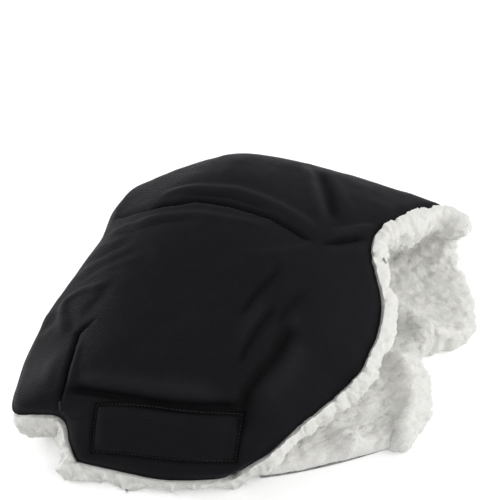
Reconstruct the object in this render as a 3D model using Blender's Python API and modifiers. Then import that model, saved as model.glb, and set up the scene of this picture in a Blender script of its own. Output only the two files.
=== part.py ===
# A padded hand muff: a sheet of dark twill, wadded and lined with lambswool,
# that wraps round and closes at the front with a strip of hook tape on a tab.
# The sheet is read as one long wrap.  A place on it has two numbers: s, the
# length along the wrap's middle line, from the hem up over the hood, over the
# waist and round the rear, forward underneath and up again behind the tab; and
# u, from -1 at the left rim to 1 at the right.  Each layer of the sheet is the
# same surface, moved inward by its own depth.

import math

import bmesh
import bpy
import numpy as np

# Sizes in metres.
BODY_WIDTH = 0.450
BODY_DEPTH = 0.360
BODY_HEIGHT = 0.144

SHELL_THICKNESS = 0.0015
WADDING_THICKNESS = 0.005
LINING_THICKNESS = 0.012
FACING_THICKNESS = 0.0012
GAP = 0.0003
SEAM_GAP = 0.0008
SHELL_GAP = 0.0006

TAPE_WIDTH = 0.050
TAPE_LENGTH = 0.132
TAPE_THICKNESS = 0.0014
TAPE_CENTRE_X = -0.029
HEM_HEIGHT = 0.0151
HEM_MARGIN = 0.0155
FOLD_MARGIN = 0.0045
TAB_SLOPE = math.radians(50)
TAB_BOW = 0.003
TONGUE_SIDE_MARGIN = 0.006
HEM_LEFT_MARGIN = 0.01525
HEM_RIGHT_MARGIN = 0.00125
TOE_LEFT_MARGIN = 0.016
TOE_RIGHT_MARGIN = 0.1345

EDGING_REACH = 0.013
HEM_EDGING_REACH = 0.012
HEM_EDGING_THICKNESS = 0.011
EDGING_GAP = 0.0009

PLEAT_DEPTH = 0.0035
PLEAT_WIDTH = 0.0085
DART_DEPTH = 0.0040
DART_WIDTH = 0.0080
TACK_LENGTH = 0.009
TACK_WIDTH = 0.0024
TACK_THICKNESS = 0.0008
TACK_LIFT = 0.0004
STITCH_THREAD = 0.0009
STITCH_LIFT = 0.0004
LOOP_STITCH_LIFT = 0.0009
STITCH_INSET = 0.0025
LINING_SETBACK = 0.014
TOE_TURN = 0.034

# Places along the wrap, as shares of the width, depth and height, each with
# its middle, its left rim and its right rim, and a power for how flat it stays
# between them.  Where the tape sets the place instead, the share is zero: the
# tab's middle follows the tape's width, and the rims of the hem and of the toe
# follow its length.
WRAP_SHARES = {
    "hem": ((-0.080, -0.110, 0.0), (0.0, -0.105, 0.125), (0.0, -0.070, 0.125), 2.4),
    "tab_middle": ((-0.075, 0.0, 0.0), (-0.270, -0.070, 0.190), (0.143, -0.025, 0.275), 4.0),
    "tab_top": ((-0.070, 0.0, 0.0), (-0.300, -0.025, 0.260), (0.200, 0.070, 0.305), 5.0),
    "nose": ((-0.070, 0.100, 0.590), (-0.400, -0.025, 0.225), (0.236, 0.127, 0.322), 4.0),
    "hood_low": ((-0.080, 0.225, 0.720), (-0.418, 0.080, 0.325), (0.272, 0.190, 0.352), 2.6),
    "hood": ((-0.090, 0.375, 0.850), (-0.400, 0.225, 0.470), (0.315, 0.285, 0.440), 2.4),
    "hood_high": ((-0.090, 0.500, 0.940), (-0.368, 0.350, 0.575), (0.330, 0.440, 0.560), 2.3),
    "crease": ((-0.095, 0.600, 0.975), (-0.335, 0.465, 0.650), (0.285, 0.590, 0.725), 2.2),
    "crest": ((-0.060, 0.725, 0.995), (-0.325, 0.590, 0.735), (0.320, 0.695, 0.775), 1.5),
    "shoulder": ((-0.020, 0.840, 0.915), (-0.315, 0.675, 0.715), (0.390, 0.805, 0.690), 1.5),
    "rear": ((0.020, 0.920, 0.655), (-0.315, 0.750, 0.560), (0.455, 0.875, 0.560), 2.0),
    "rear_low": ((0.060, 0.930, 0.325), (-0.320, 0.780, 0.310), (0.450, 0.875, 0.300), 2.0),
    "under_rear": ((0.080, 0.860, 0.060), (-0.330, 0.750, 0.060), (0.465, 0.800, 0.060), 2.0),
    "under_back": ((0.070, 0.725, 0.000), (-0.345, 0.625, 0.000), (0.515, 0.610, 0.000), 2.0),
    "under_middle": ((0.020, 0.450, 0.000), (-0.380, 0.375, 0.000), (0.402, 0.455, 0.000), 2.0),
    "under_front": ((-0.040, 0.175, 0.000), (-0.370, 0.125, 0.000), (0.428, 0.285, 0.000), 2.0),
    "toe": ((-0.065, -0.045, 0.000), (0.0, -0.020, 0.000), (0.0, 0.165, 0.000), 2.0),
}
SWEEP_POWER = 1.7
ACROSS_STEP = 0.01
TONGUE_START_SHARE = 0.6

# The right dart deepens the pleat between these two places across.  The left
# one runs up the sheet between two places, at these shares of the width.
RIGHT_DART_SHARES = (0.58, 0.95)
LEFT_DART_PLACES = ("tab_top", "hood")
LEFT_DART_X_SHARES = (-0.298, -0.268)

# The facets of the hood, as row and column, that the two bar tacks lie on.
LEFT_TACK_FACET = (0, 0)
RIGHT_TACK_FACET = (-5, -2)

# Columns of the mesh over the tape and from there to each rim, how many rows
# lie between places, the extra rows beside the waist in pleat widths, and the
# least row spacing.
TAPE_COLUMN_SHARES = (-1.0, -0.66, -0.33, 0.0, 0.33, 0.66, 1.0)
RIM_COLUMN_SHARES = (0.38, 0.72, 1.0)
ROWS_PER_PLACE = 2
TAPE_ROWS = 4
TURN_ROWS = 4
TOE_COLUMNS = 8
STITCHES_ACROSS = 16
STITCHES_ALONG = 8
PLEAT_ROW_SHARES = (0.9, 2.2)
ROW_SPACING_SHARE = 0.7
SMOOTH_ANGLE = math.radians(50)

# The edging's outline, from the sheet outward and from its outer face inward.
EDGING_SHARES = ((0.0, 0.05), (0.5, 0.0), (0.88, 0.17), (1.0, 0.5),
                 (0.88, 0.83), (0.5, 1.0), (0.0, 1.0))

# Sizes that follow others.
TAB_LENGTH = HEM_MARGIN + TAPE_WIDTH + FOLD_MARGIN
WADDING_DEPTH = SHELL_THICKNESS + SHELL_GAP
LINING_DEPTH = WADDING_DEPTH + WADDING_THICKNESS + GAP
STACK_THICKNESS = LINING_DEPTH + LINING_THICKNESS
HOOK_DEPTH = LINING_DEPTH + FACING_THICKNESS + GAP
LOOP_DEPTH = HOOK_DEPTH + TAPE_THICKNESS + GAP
TONGUE_DEPTH = LOOP_DEPTH + TAPE_THICKNESS + GAP
TONGUE_HALF = TAPE_LENGTH / 2 + TONGUE_SIDE_MARGIN
BODY_SIZE = np.array((BODY_WIDTH, BODY_DEPTH, BODY_HEIGHT))
SLOPE_STEP = BODY_DEPTH / 400


def wrap_places():
    """Middles, left rims, right rims and powers of the wrap's places, in metres."""
    rows = list(WRAP_SHARES.values())
    middle, left, right = (np.array([row[i] for row in rows]) * BODY_SIZE for i in range(3))
    power = np.array([[row[3]] for row in rows])
    up_slope = np.array((math.cos(TAB_SLOPE), math.sin(TAB_SLOPE)))
    off_slope = np.array((-math.sin(TAB_SLOPE), math.cos(TAB_SLOPE)))
    hem = np.array((middle[0, 1], HEM_HEIGHT))
    middle[0, 1:] = hem
    middle[1, 1:] = hem + up_slope * TAB_LENGTH / 2 + off_slope * TAB_BOW
    middle[2, 1:] = hem + up_slope * TAB_LENGTH
    left[0, 0] = TAPE_CENTRE_X - TAPE_LENGTH / 2 - HEM_LEFT_MARGIN
    right[0, 0] = TAPE_CENTRE_X + TAPE_LENGTH / 2 + HEM_RIGHT_MARGIN
    left[-1, 0] = TAPE_CENTRE_X - TONGUE_HALF - TOE_LEFT_MARGIN
    right[-1, 0] = TAPE_CENTRE_X + TONGUE_HALF + TOE_RIGHT_MARGIN
    return middle, left, right, power


MIDDLE, LEFT, RIGHT, POWER = wrap_places()
STEPS = np.linalg.norm(np.diff(MIDDLE, axis=0), axis=1)
PLACES = np.concatenate(([0], np.cumsum(STEPS)))
PLACE = dict(zip(WRAP_SHARES, PLACES))


def curve_through(values, s):
    """Smooth curve through a value at each place, with slopes from its neighbours."""
    step = np.diff(PLACES)[:, None]
    slope = np.diff(values, axis=0) / step
    tangent = np.concatenate((slope[:1], slope, slope[-1:]))
    tangent = (tangent[:-1] + tangent[1:]) / 2
    inner = (slope[:-1] * step[1:] + slope[1:] * step[:-1]) / (step[1:] + step[:-1])
    tangent[1:-1] = inner
    i = np.clip(np.searchsorted(PLACES, s, side="right") - 1, 0, len(PLACES) - 2)
    f = ((s - PLACES[i]) / np.diff(PLACES)[i])[..., None]
    return (values[i] * (2 * f**3 - 3 * f**2 + 1)
            + values[i + 1] * (3 * f**2 - 2 * f**3)
            + step[i] * (tangent[i] * (f**3 - 2 * f**2 + f) + tangent[i + 1] * (f**3 - f**2)))


def across(x, s):
    """The u of a place x metres across, at s along the wrap."""
    middle, left, right = (curve_through(v[:, :1], s)[..., 0] for v in (MIDDLE, LEFT, RIGHT))
    return np.where(x > middle, (x - middle) / (right - middle), (x - middle) / (middle - left))


def bare_surface(u, s):
    """The wrap without its folds: it runs from its middle to each rim by a power."""
    u, s = np.broadcast_arrays(np.asarray(u, float), np.asarray(s, float))
    middle = curve_through(MIDDLE, s)
    rim = np.where(u[..., None] > 0, curve_through(RIGHT, s), curve_through(LEFT, s))
    power = curve_through(POWER, s)[..., 0]
    reach = np.abs(u)
    share = np.stack((reach, reach**SWEEP_POWER, reach**power), axis=-1)
    point = middle + (rim - middle) * share
    point[..., 2] = np.maximum(point[..., 2], 0)
    return point


def inward_of(surface, u, s, last):
    """The unit normal of a surface, pointing into the muff."""
    side = (surface(np.minimum(u + ACROSS_STEP, 1), s)
            - surface(np.maximum(u - ACROSS_STEP, -1), s))
    along = (surface(u, np.minimum(s + SLOPE_STEP, last))
             - surface(u, np.maximum(s - SLOPE_STEP, 0)))
    normal = np.cross(along, side)
    return normal / np.linalg.norm(normal, axis=-1, keepdims=True)


def ramp(value, start, end):
    """Rises smoothly from 0 at start to 1 at end."""
    f = np.clip((value - start) / (end - start), 0, 1)
    return f * f * (3 - 2 * f)


def fold_depth(u, s, x):
    """How far the pleat across the waist and the two darts sink into the sheet."""
    off_waist = s - PLACE["crease"]
    pleat = PLEAT_DEPTH * np.exp(-(off_waist / PLEAT_WIDTH) ** 2)
    right_dart = DART_DEPTH * np.exp(-(off_waist / DART_WIDTH) ** 2) * ramp(u, *RIGHT_DART_SHARES)
    start, end = (PLACE[name] for name in LEFT_DART_PLACES)
    line = np.interp(s, (start, end), LEFT_DART_X_SHARES) * BODY_WIDTH
    left_dart = DART_DEPTH * np.exp(-((x - line) / DART_WIDTH) ** 2)
    left_dart = left_dart * ramp(s, start - DART_WIDTH, start) * ramp(s, end, end - DART_WIDTH * 2)
    return pleat + right_dart + left_dart


def sheet_surface(u, s):
    """The outer face of the sheet as far as the toe, with its folds."""
    u, s = np.broadcast_arrays(np.asarray(u, float), np.asarray(s, float))
    point = bare_surface(u, s)
    depth = fold_depth(u, s, point[..., 0])
    return point + inward_of(bare_surface, u, s, PLACES[-1]) * depth[..., None]


def sheet_at(u, s, depth):
    """A place inside the sheet, at a depth below its outer face."""
    u, s = np.broadcast_arrays(np.asarray(u, float), np.asarray(s, float))
    return sheet_surface(u, s) + inward_of(sheet_surface, u, s, PLACES[-1]) * depth


TOE = PLACE["toe"]
TONGUE_START = HEM_MARGIN * TONGUE_START_SHARE


def tongue_face(x, v):
    """The tongue's outer face, x across and v from the toe: round, then up the tab."""
    x, v = np.broadcast_arrays(np.asarray(x, float), np.asarray(v, float))
    step = SLOPE_STEP
    toe_u = across(x, np.full_like(v, TOE))
    toe = sheet_surface(toe_u, np.full_like(v, TOE))
    toe_slope = (toe - sheet_surface(toe_u, np.full_like(v, TOE - step))) / step
    tab_s = TONGUE_START + v - TOE_TURN
    rest = sheet_at(across(x, tab_s), np.maximum(tab_s, TONGUE_START), TONGUE_DEPTH)
    foot_s = np.full_like(v, TONGUE_START)
    foot = sheet_at(across(x, foot_s), foot_s, TONGUE_DEPTH)
    foot_slope = (sheet_at(across(x, foot_s + step), foot_s + step, TONGUE_DEPTH) - foot) / step
    f = np.clip(v / TOE_TURN, 0, 1)[..., None]
    turn = (toe * (2 * f**3 - 3 * f**2 + 1) + foot * (3 * f**2 - 2 * f**3)
            + TOE_TURN * (toe_slope * (f**3 - 2 * f**2 + f) + foot_slope * (f**3 - f**2)))
    turn[..., 2] = np.maximum(turn[..., 2], 0)
    return np.where((v > TOE_TURN)[..., None], rest, turn)


def tongue_at(x, v, depth):
    """A place inside the tongue, at a depth below its outer face."""
    x, v = np.broadcast_arrays(np.asarray(x, float), np.asarray(v, float))
    step = SLOPE_STEP
    side = tongue_face(x + step, v) - tongue_face(x - step, v)
    along = tongue_face(x, v + step) - tongue_face(x, np.maximum(v - step, 0))
    normal = np.cross(along, side)
    return tongue_face(x, v) + normal / np.linalg.norm(normal, axis=-1, keepdims=True) * depth


def rows_between(first, last):
    """Rows from one place of the wrap to another, with more beside the waist."""
    stops = [first, *[s for s in PLACES if first < s < last], last]
    rows = [s for a, b in zip(stops, stops[1:]) for s in np.linspace(a, b, ROWS_PER_PLACE + 1)]
    waist = PLACE["crease"]
    pleat = [waist + side * share * PLEAT_WIDTH for share in PLEAT_ROW_SHARES for side in (-1, 1)]
    rows = [s for s in sorted(rows) if abs(s - waist) > PLEAT_WIDTH * PLEAT_ROW_SHARES[-1]]
    rows = sorted([first, last, *rows, *[s for s in pleat if first < s < last]])
    kept = [first]
    for s in rows:
        if s - kept[-1] > PLEAT_WIDTH * ROW_SPACING_SHARE and last - s > PLEAT_WIDTH * ROW_SPACING_SHARE:
            kept.append(s)
    return np.array([*kept, last])


WAIST = PLACE["crease"]
FOLD = PLACE["tab_top"]
TAPE_X = TAPE_CENTRE_X + np.array(TAPE_COLUMN_SHARES) * TAPE_LENGTH / 2
TAPE_S = np.linspace(HEM_MARGIN, HEM_MARGIN + TAPE_WIDTH, TAPE_ROWS + 1)


def tab_columns(s):
    """u of each column at s: straight up the tab over the tape, then to the rims."""
    over = across(TAPE_X, np.full(len(TAPE_X), s))
    to_rim = np.array(RIM_COLUMN_SHARES)
    left = over[0] + (-1 - over[0]) * to_rim
    right = over[-1] + (1 - over[-1]) * to_rim
    return np.concatenate((left[::-1], over, right))


COLUMNS = tab_columns(FOLD)
TAB_ROWS = np.array([0, *TAPE_S, FOLD - SEAM_GAP / 2])
UPPER_ROWS = rows_between(FOLD + SEAM_GAP / 2, WAIST - SEAM_GAP / 2)
BACK_PAD_ROWS = rows_between(WAIST + SEAM_GAP / 2, TOE - LINING_SETBACK)
BACK_ROWS = np.append(BACK_PAD_ROWS, TOE - SEAM_GAP / 2)
TONGUE_X = np.array([TAPE_CENTRE_X - TONGUE_HALF, *TAPE_X, TAPE_CENTRE_X + TONGUE_HALF])
TONGUE_V = np.concatenate((np.linspace(SEAM_GAP, TOE_TURN, TURN_ROWS + 1),
                           TOE_TURN + TAPE_S - TONGUE_START))


def sheet_grid(rows):
    """u and s of the columns and rows of the hood and the rear half."""
    return np.meshgrid(COLUMNS, rows)


def tab_grid():
    """u and s of the tab's columns and rows."""
    return (np.array([tab_columns(s) for s in TAB_ROWS]),
            np.repeat(TAB_ROWS[:, None], len(COLUMNS), axis=1))


def tape_grid():
    """x and s of the tapes' columns and rows."""
    return np.meshgrid(TAPE_X, TAPE_S)


def tape_at(x, s, depth):
    """A place in the closure, at x across and s along the tab, below its outer face."""
    return sheet_at(across(x, s), s, depth)


def clear_scene():
    """Remove what the scene holds."""
    for thing in list(bpy.data.objects):
        bpy.data.objects.remove(thing, do_unlink=True)


def material_of(name, colour, roughness):
    """A plain Principled material, without metal."""
    material = bpy.data.materials.new(name)
    material.use_nodes = True
    shader = material.node_tree.nodes["Principled BSDF"]
    shader.inputs["Base Color"].default_value = (*colour, 1)
    shader.inputs["Roughness"].default_value = roughness
    shader.inputs["Metallic"].default_value = 0
    return material


def hinge_empty(name, place, parent, collection):
    """An empty on a joint's axis, which the pieces of a body hang on."""
    empty = bpy.data.objects.new(name, None)
    empty.empty_display_size = TAPE_WIDTH
    empty.location = place
    empty["place"] = list(place)
    if parent:
        empty.parent = parent
        empty.location = np.array(place) - np.array(parent["place"])
    collection.objects.link(empty)
    return empty


def mesh_object(name, points, faces, material, parent):
    """A named mesh that hangs on its body's empty, with its origin there."""
    mesh = bpy.data.meshes.new(name)
    mesh.from_pydata((points.reshape(-1, 3) - np.array(parent["place"])).tolist(), [], faces)
    mesh.shade_smooth()
    mesh.set_sharp_from_angle(angle=SMOOTH_ANGLE)
    mesh.materials.append(material)
    thing = bpy.data.objects.new(name, mesh)
    thing.parent = parent
    parent.users_collection[0].objects.link(thing)
    return thing


def grid_faces(rows, columns):
    """Triangles of a grid of points, rows by columns, facing out of the muff."""
    index = np.arange(rows * columns).reshape(rows, columns)
    a, b, c, d = index[:-1, :-1], index[:-1, 1:], index[1:, 1:], index[1:, :-1]
    pairs = np.stack((np.stack((a, b, c), axis=-1), np.stack((a, c, d), axis=-1)), axis=2)
    return pairs.reshape(-1, 3).tolist()


def cloth(name, place_at, grid, depth, thickness, material, parent):
    """A skin of fabric: an open surface at its depth, thickened inward."""
    faces = grid_faces(*grid[0].shape)
    thing = mesh_object(name, place_at(*grid, depth), faces, material, parent)
    solidify = thing.modifiers.new("thickness", "SOLIDIFY")
    solidify.thickness = thickness
    solidify.offset = -1
    return thing


def padding(name, place_at, grid, depth, thickness, material, parent):
    """A thick layer: a loft between two depths of the sheet, closed at its edges."""
    rows, columns = grid[0].shape
    points = np.concatenate((place_at(*grid, depth).reshape(-1, 3),
                             place_at(*grid, depth + thickness).reshape(-1, 3)))
    top = grid_faces(rows, columns)
    bottom = [[i + rows * columns for i in face[::-1]] for face in top]
    index = np.arange(rows * columns).reshape(rows, columns)
    ring = [*index[0, :-1], *index[:-1, -1], *index[-1, :0:-1], *index[:0:-1, 0]]
    walls = []
    for i, j in zip(ring, ring[1:] + ring[:1]):
        i, j, under_i, under_j = (int(k) for k in (i, j, i + rows * columns, j + rows * columns))
        if j > i:
            walls += [(j, i, under_j), (i, under_i, under_j)]
        else:
            walls += [(j, i, under_i), (j, under_i, under_j)]
    return mesh_object(name, points, top + bottom + walls, material, parent)


def sweep(name, sections, material, parent):
    """A closed roll through a row of sections with as many points each."""
    count, size = sections.shape[:2]
    index = np.arange(count * size).reshape(count, size)
    after = np.roll(index, -1, axis=1)
    lower = np.stack((index[:-1], after[:-1], index[1:]), axis=-1).reshape(-1, 3)
    upper = np.stack((after[:-1], after[1:], index[1:]), axis=-1).reshape(-1, 3)
    faces = [*lower.tolist(), *upper.tolist(), index[0, ::-1].tolist(), index[-1].tolist()]
    thing = mesh_object(name, sections, faces, material, parent)
    bm = bmesh.new()
    bm.from_mesh(thing.data)
    bmesh.ops.recalc_face_normals(bm, faces=bm.faces)
    bm.to_mesh(thing.data)
    bm.free()
    return thing


def edging_sections(u, s, outward, reach, thickness):
    """Sections of a roll of fleece that stands off the sheet's edge along a path."""
    inward = inward_of(sheet_surface, u, s, PLACES[-1])
    edge = sheet_surface(u, s)
    shares = np.array(EDGING_SHARES)
    inner = np.array([d for d in (LINING_DEPTH, WADDING_DEPTH) if d < thickness])
    off = EDGING_GAP + np.concatenate((shares[:, 0] * reach, np.zeros(len(inner))))
    deep = np.concatenate((shares[:, 1] * thickness, inner))
    points = (edge[:, None] + outward[:, None] * off[None, :, None]
              + inward[:, None] * deep[None, :, None])
    points[..., 2] = np.maximum(points[..., 2], GAP)
    return points


def unit(vectors):
    """The same directions at length 1."""
    return vectors / np.linalg.norm(vectors, axis=-1, keepdims=True)


def rim_roll(name, rows, side, material, parent):
    """The roll of fleece along a rim between two rows: side is 1 right, -1 left."""
    u = np.full(len(rows), float(side))
    outward = side * np.cross(inward_of(sheet_surface, u, rows, PLACES[-1]), along_wrap(u, rows))
    sections = edging_sections(u, rows, unit(outward), EDGING_REACH, STACK_THICKNESS)
    return sweep(name, sections, material, parent)


def along_wrap(u, s):
    """The direction along the wrap on its outer face."""
    ahead = sheet_surface(u, np.minimum(s + SLOPE_STEP, PLACES[-1]))
    return unit(ahead - sheet_surface(u, np.maximum(s - SLOPE_STEP, 0)))


def corner_roll(name, side, material, parent):
    """The lower sheet's roll of fleece: down its rim, round the corner, to the tongue."""
    rim_u = np.full(len(BACK_PAD_ROWS), float(side))
    stop_x = TAPE_CENTRE_X + side * (TONGUE_HALF + EDGING_REACH / 2)
    stop = across(np.array([stop_x]), np.array([TOE]))[0]
    toe_u = np.linspace(side, stop, TOE_COLUMNS + 1)
    u = np.concatenate((rim_u, toe_u))
    s = np.concatenate((BACK_PAD_ROWS, np.full(len(toe_u), TOE)))
    inward = inward_of(sheet_surface, u, s, PLACES[-1])
    off_rim = side * np.cross(inward, along_wrap(u, s))
    off_toe = along_wrap(u, s)
    weight = (s >= TOE).astype(float)
    weight[len(rim_u)] = 1 / 2
    outward = unit(unit(off_rim) * (1 - weight)[:, None] + off_toe * weight[:, None])
    return sweep(name, edging_sections(u, s, outward, EDGING_REACH, STACK_THICKNESS), material, parent)


def stitching(name, points, material, parent):
    """A closed line of thread through a ring of points."""
    curve = bpy.data.curves.new(name, "CURVE")
    curve.dimensions = "3D"
    curve.bevel_depth = STITCH_THREAD / 2
    curve.bevel_resolution = 0
    spline = curve.splines.new("POLY")
    spline.points.add(len(points) - 1)
    spline.use_cyclic_u = True
    for knot, place in zip(spline.points, points - np.array(parent["place"])):
        knot.co = (*place, 1)
    curve.materials.append(material)
    thing = bpy.data.objects.new(name, curve)
    thing.parent = parent
    parent.users_collection[0].objects.link(thing)
    return thing


def stitch_ring():
    """Places across and along a tape, round it and a little inside its edges."""
    half_x = TAPE_LENGTH / 2 - STITCH_INSET
    low = HEM_MARGIN + STITCH_INSET
    high = HEM_MARGIN + TAPE_WIDTH - STITCH_INSET
    shares = np.linspace(-1, 1, STITCHES_ACROSS + 1)[:-1]
    rises = np.linspace(low, high, STITCHES_ALONG + 1)[:-1]
    x = np.concatenate((shares, np.ones(STITCHES_ALONG), -shares, -np.ones(STITCHES_ALONG))) * half_x
    s = np.concatenate((np.full(STITCHES_ACROSS, low), rises,
                        np.full(STITCHES_ACROSS, high), low + high - rises))
    return TAPE_CENTRE_X + x, s


def bar_tack(name, grid, row, column, material, parent):
    """A short block of thread that locks a dart's open end, flat on one facet."""
    rows = [row, row, row + 1]
    columns = [column, column + 1, column + 1]
    a, b, c = sheet_at(grid[0][rows, columns], grid[1][rows, columns], 0)
    along = unit(c - b)
    out = unit(np.cross(b - a, c - b))
    axes = np.stack((along * TACK_LENGTH, np.cross(out, along) * TACK_WIDTH, out * TACK_THICKNESS))
    middle = (a + b + c) / 3 + out * (TACK_LIFT + TACK_THICKNESS / 2)
    corners = np.array([(i, j, k) for i in (-1, 1) for j in (-1, 1) for k in (-1, 1)]) / 2
    faces = [[0, 1, 3, 2], [4, 6, 7, 5], [0, 4, 5, 1], [2, 3, 7, 6], [0, 2, 6, 4], [1, 5, 7, 3]]
    return mesh_object(name, middle + corners @ axes, faces, material, parent)


def build_back(body, fabric):
    """The rear half of the wrap and the underside, with the tongue and loop tape."""
    cloth("back_shell", sheet_at, sheet_grid(BACK_ROWS), 0, SHELL_THICKNESS, fabric["twill"], body)
    padding("back_wadding", sheet_at, sheet_grid(BACK_PAD_ROWS), WADDING_DEPTH, WADDING_THICKNESS,
            fabric["wadding"], body)
    padding("back_lining", sheet_at, sheet_grid(BACK_PAD_ROWS), LINING_DEPTH, LINING_THICKNESS,
            fabric["fleece"], body)
    corner_roll("back_left_edging", -1, fabric["fleece"], body)
    corner_roll("back_right_edging", 1, fabric["fleece"], body)
    tongue_grid = np.meshgrid(TONGUE_X, TONGUE_V)
    cloth("tongue", tongue_at, tongue_grid, 0, SHELL_THICKNESS, fabric["twill"], body)
    padding("loop_tape", tape_at, tape_grid(), LOOP_DEPTH, TAPE_THICKNESS, fabric["tape"], body)
    behind = TONGUE_DEPTH + SHELL_THICKNESS + LOOP_STITCH_LIFT + STITCH_THREAD / 2
    stitching("loop_stitching", tape_at(*stitch_ring(), behind), fabric["thread"], body)


def build_upper(body, fabric):
    """The hood from the tab's fold to the waist, with its darts' bar tacks."""
    grid = sheet_grid(UPPER_ROWS)
    cloth("upper_shell", sheet_at, grid, 0, SHELL_THICKNESS, fabric["twill"], body)
    padding("upper_wadding", sheet_at, grid, WADDING_DEPTH, WADDING_THICKNESS, fabric["wadding"], body)
    padding("upper_lining", sheet_at, grid, LINING_DEPTH, LINING_THICKNESS, fabric["fleece"], body)
    rim_roll("upper_left_edging", UPPER_ROWS, -1, fabric["fleece"], body)
    rim_roll("upper_right_edging", UPPER_ROWS, 1, fabric["fleece"], body)
    bar_tack("left_bar_tack", grid, *LEFT_TACK_FACET, fabric["thread"], body)
    bar_tack("right_bar_tack", grid, *RIGHT_TACK_FACET, fabric["thread"], body)


def build_tab(body, fabric):
    """The tab below the fold, which carries the hook tape and the hem's fleece."""
    grid = tab_grid()
    cloth("tab_shell", sheet_at, grid, 0, SHELL_THICKNESS, fabric["twill"], body)
    padding("tab_wadding", sheet_at, grid, WADDING_DEPTH, WADDING_THICKNESS, fabric["wadding"], body)
    padding("tab_facing", sheet_at, grid, LINING_DEPTH, FACING_THICKNESS, fabric["twill"], body)
    padding("hook_tape", tape_at, tape_grid(), HOOK_DEPTH, TAPE_THICKNESS, fabric["tape"], body)
    above = -STITCH_LIFT - STITCH_THREAD / 2
    stitching("hook_stitching", tape_at(*stitch_ring(), above), fabric["thread"], body)
    u = grid[0][0]
    hem = np.zeros(len(u))
    sections = edging_sections(u, hem, -along_wrap(u, hem), HEM_EDGING_REACH, HEM_EDGING_THICKNESS)
    sweep("hem_edging", sections, fabric["fleece"], body)


def centre_on_floor(root):
    """Move the root so that the muff stands over the middle of its own box."""
    bpy.context.view_layer.update()
    graph = bpy.context.evaluated_depsgraph_get()
    corners = []
    for thing in root.children_recursive:
        if thing.type != "EMPTY":
            ready = thing.evaluated_get(graph)
            mesh = ready.to_mesh()
            points = np.empty(len(mesh.vertices) * 3)
            mesh.vertices.foreach_get("co", points)
            corners.append(points.reshape(-1, 3) + np.array(ready.matrix_world.translation))
            ready.to_mesh_clear()
    points = np.concatenate(corners)
    middle = (points.min(axis=0) + points.max(axis=0)) / 2
    root.location = (-middle[0], -middle[1], 0)


def main():
    clear_scene()
    collection = bpy.data.collections.new("hand_muff")
    bpy.context.scene.collection.children.link(collection)
    fabric = {
        "twill": material_of("black_twill", (0.014, 0.014, 0.017), 0.78),
        "wadding": material_of("white_wadding", (0.80, 0.80, 0.78), 0.95),
        "fleece": material_of("cream_lambswool", (0.78, 0.76, 0.70), 0.98),
        "tape": material_of("black_tape", (0.020, 0.020, 0.022), 0.90),
        "thread": material_of("black_thread", (0.030, 0.030, 0.034), 0.60),
    }
    back = hinge_empty("back", (0, 0, 0), None, collection)
    waist = bare_surface(0, WAIST).tolist()
    upper = hinge_empty("upper", waist, back, collection)
    fold = bare_surface(0, FOLD).tolist()
    tab = hinge_empty("tab", fold, upper, collection)
    build_back(back, fabric)
    build_upper(upper, fabric)
    build_tab(tab, fabric)
    centre_on_floor(back)


main()
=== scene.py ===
import math

import bpy
import numpy as np
from mathutils import Matrix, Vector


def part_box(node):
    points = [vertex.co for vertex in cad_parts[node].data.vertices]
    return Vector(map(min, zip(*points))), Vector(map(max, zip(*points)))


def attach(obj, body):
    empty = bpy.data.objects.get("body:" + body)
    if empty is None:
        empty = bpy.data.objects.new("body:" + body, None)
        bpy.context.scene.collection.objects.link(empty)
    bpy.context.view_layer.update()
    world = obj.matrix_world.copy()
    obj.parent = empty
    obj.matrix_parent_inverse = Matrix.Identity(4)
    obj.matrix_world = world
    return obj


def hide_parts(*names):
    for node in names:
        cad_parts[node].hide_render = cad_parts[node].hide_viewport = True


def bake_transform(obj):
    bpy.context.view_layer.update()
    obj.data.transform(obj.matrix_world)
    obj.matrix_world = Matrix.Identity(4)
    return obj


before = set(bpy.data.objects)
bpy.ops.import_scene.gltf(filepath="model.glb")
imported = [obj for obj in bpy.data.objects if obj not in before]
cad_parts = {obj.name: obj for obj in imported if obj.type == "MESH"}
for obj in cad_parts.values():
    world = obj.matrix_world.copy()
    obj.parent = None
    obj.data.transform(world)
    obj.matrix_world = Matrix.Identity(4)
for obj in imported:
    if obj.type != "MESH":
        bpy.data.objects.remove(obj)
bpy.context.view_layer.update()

# The muff is one long wrap of padded twill lined with lambswool. s runs along it from the hem over the hood, the waist
# and the rear, forward underneath and up behind the tab; u runs from the left rim, -1, to the right rim, 1.
muff = {
    "width": 0.450,
    "depth": 0.360,
    "height": 0.144,
    "hemHeight": 0.0151,
    "tabLength": 0.070,
    "tabSlope": math.radians(50),
    "tabBow": 0.003,  # how far the tab's middle stands out of a straight line
    "sweepPower": 1.7,  # how late, going out to the rims, the wrap is swept back
    "corner": (-0.0244, -0.1461, 0.0),  # where the wrap's own zero stands in the frame
}

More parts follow.
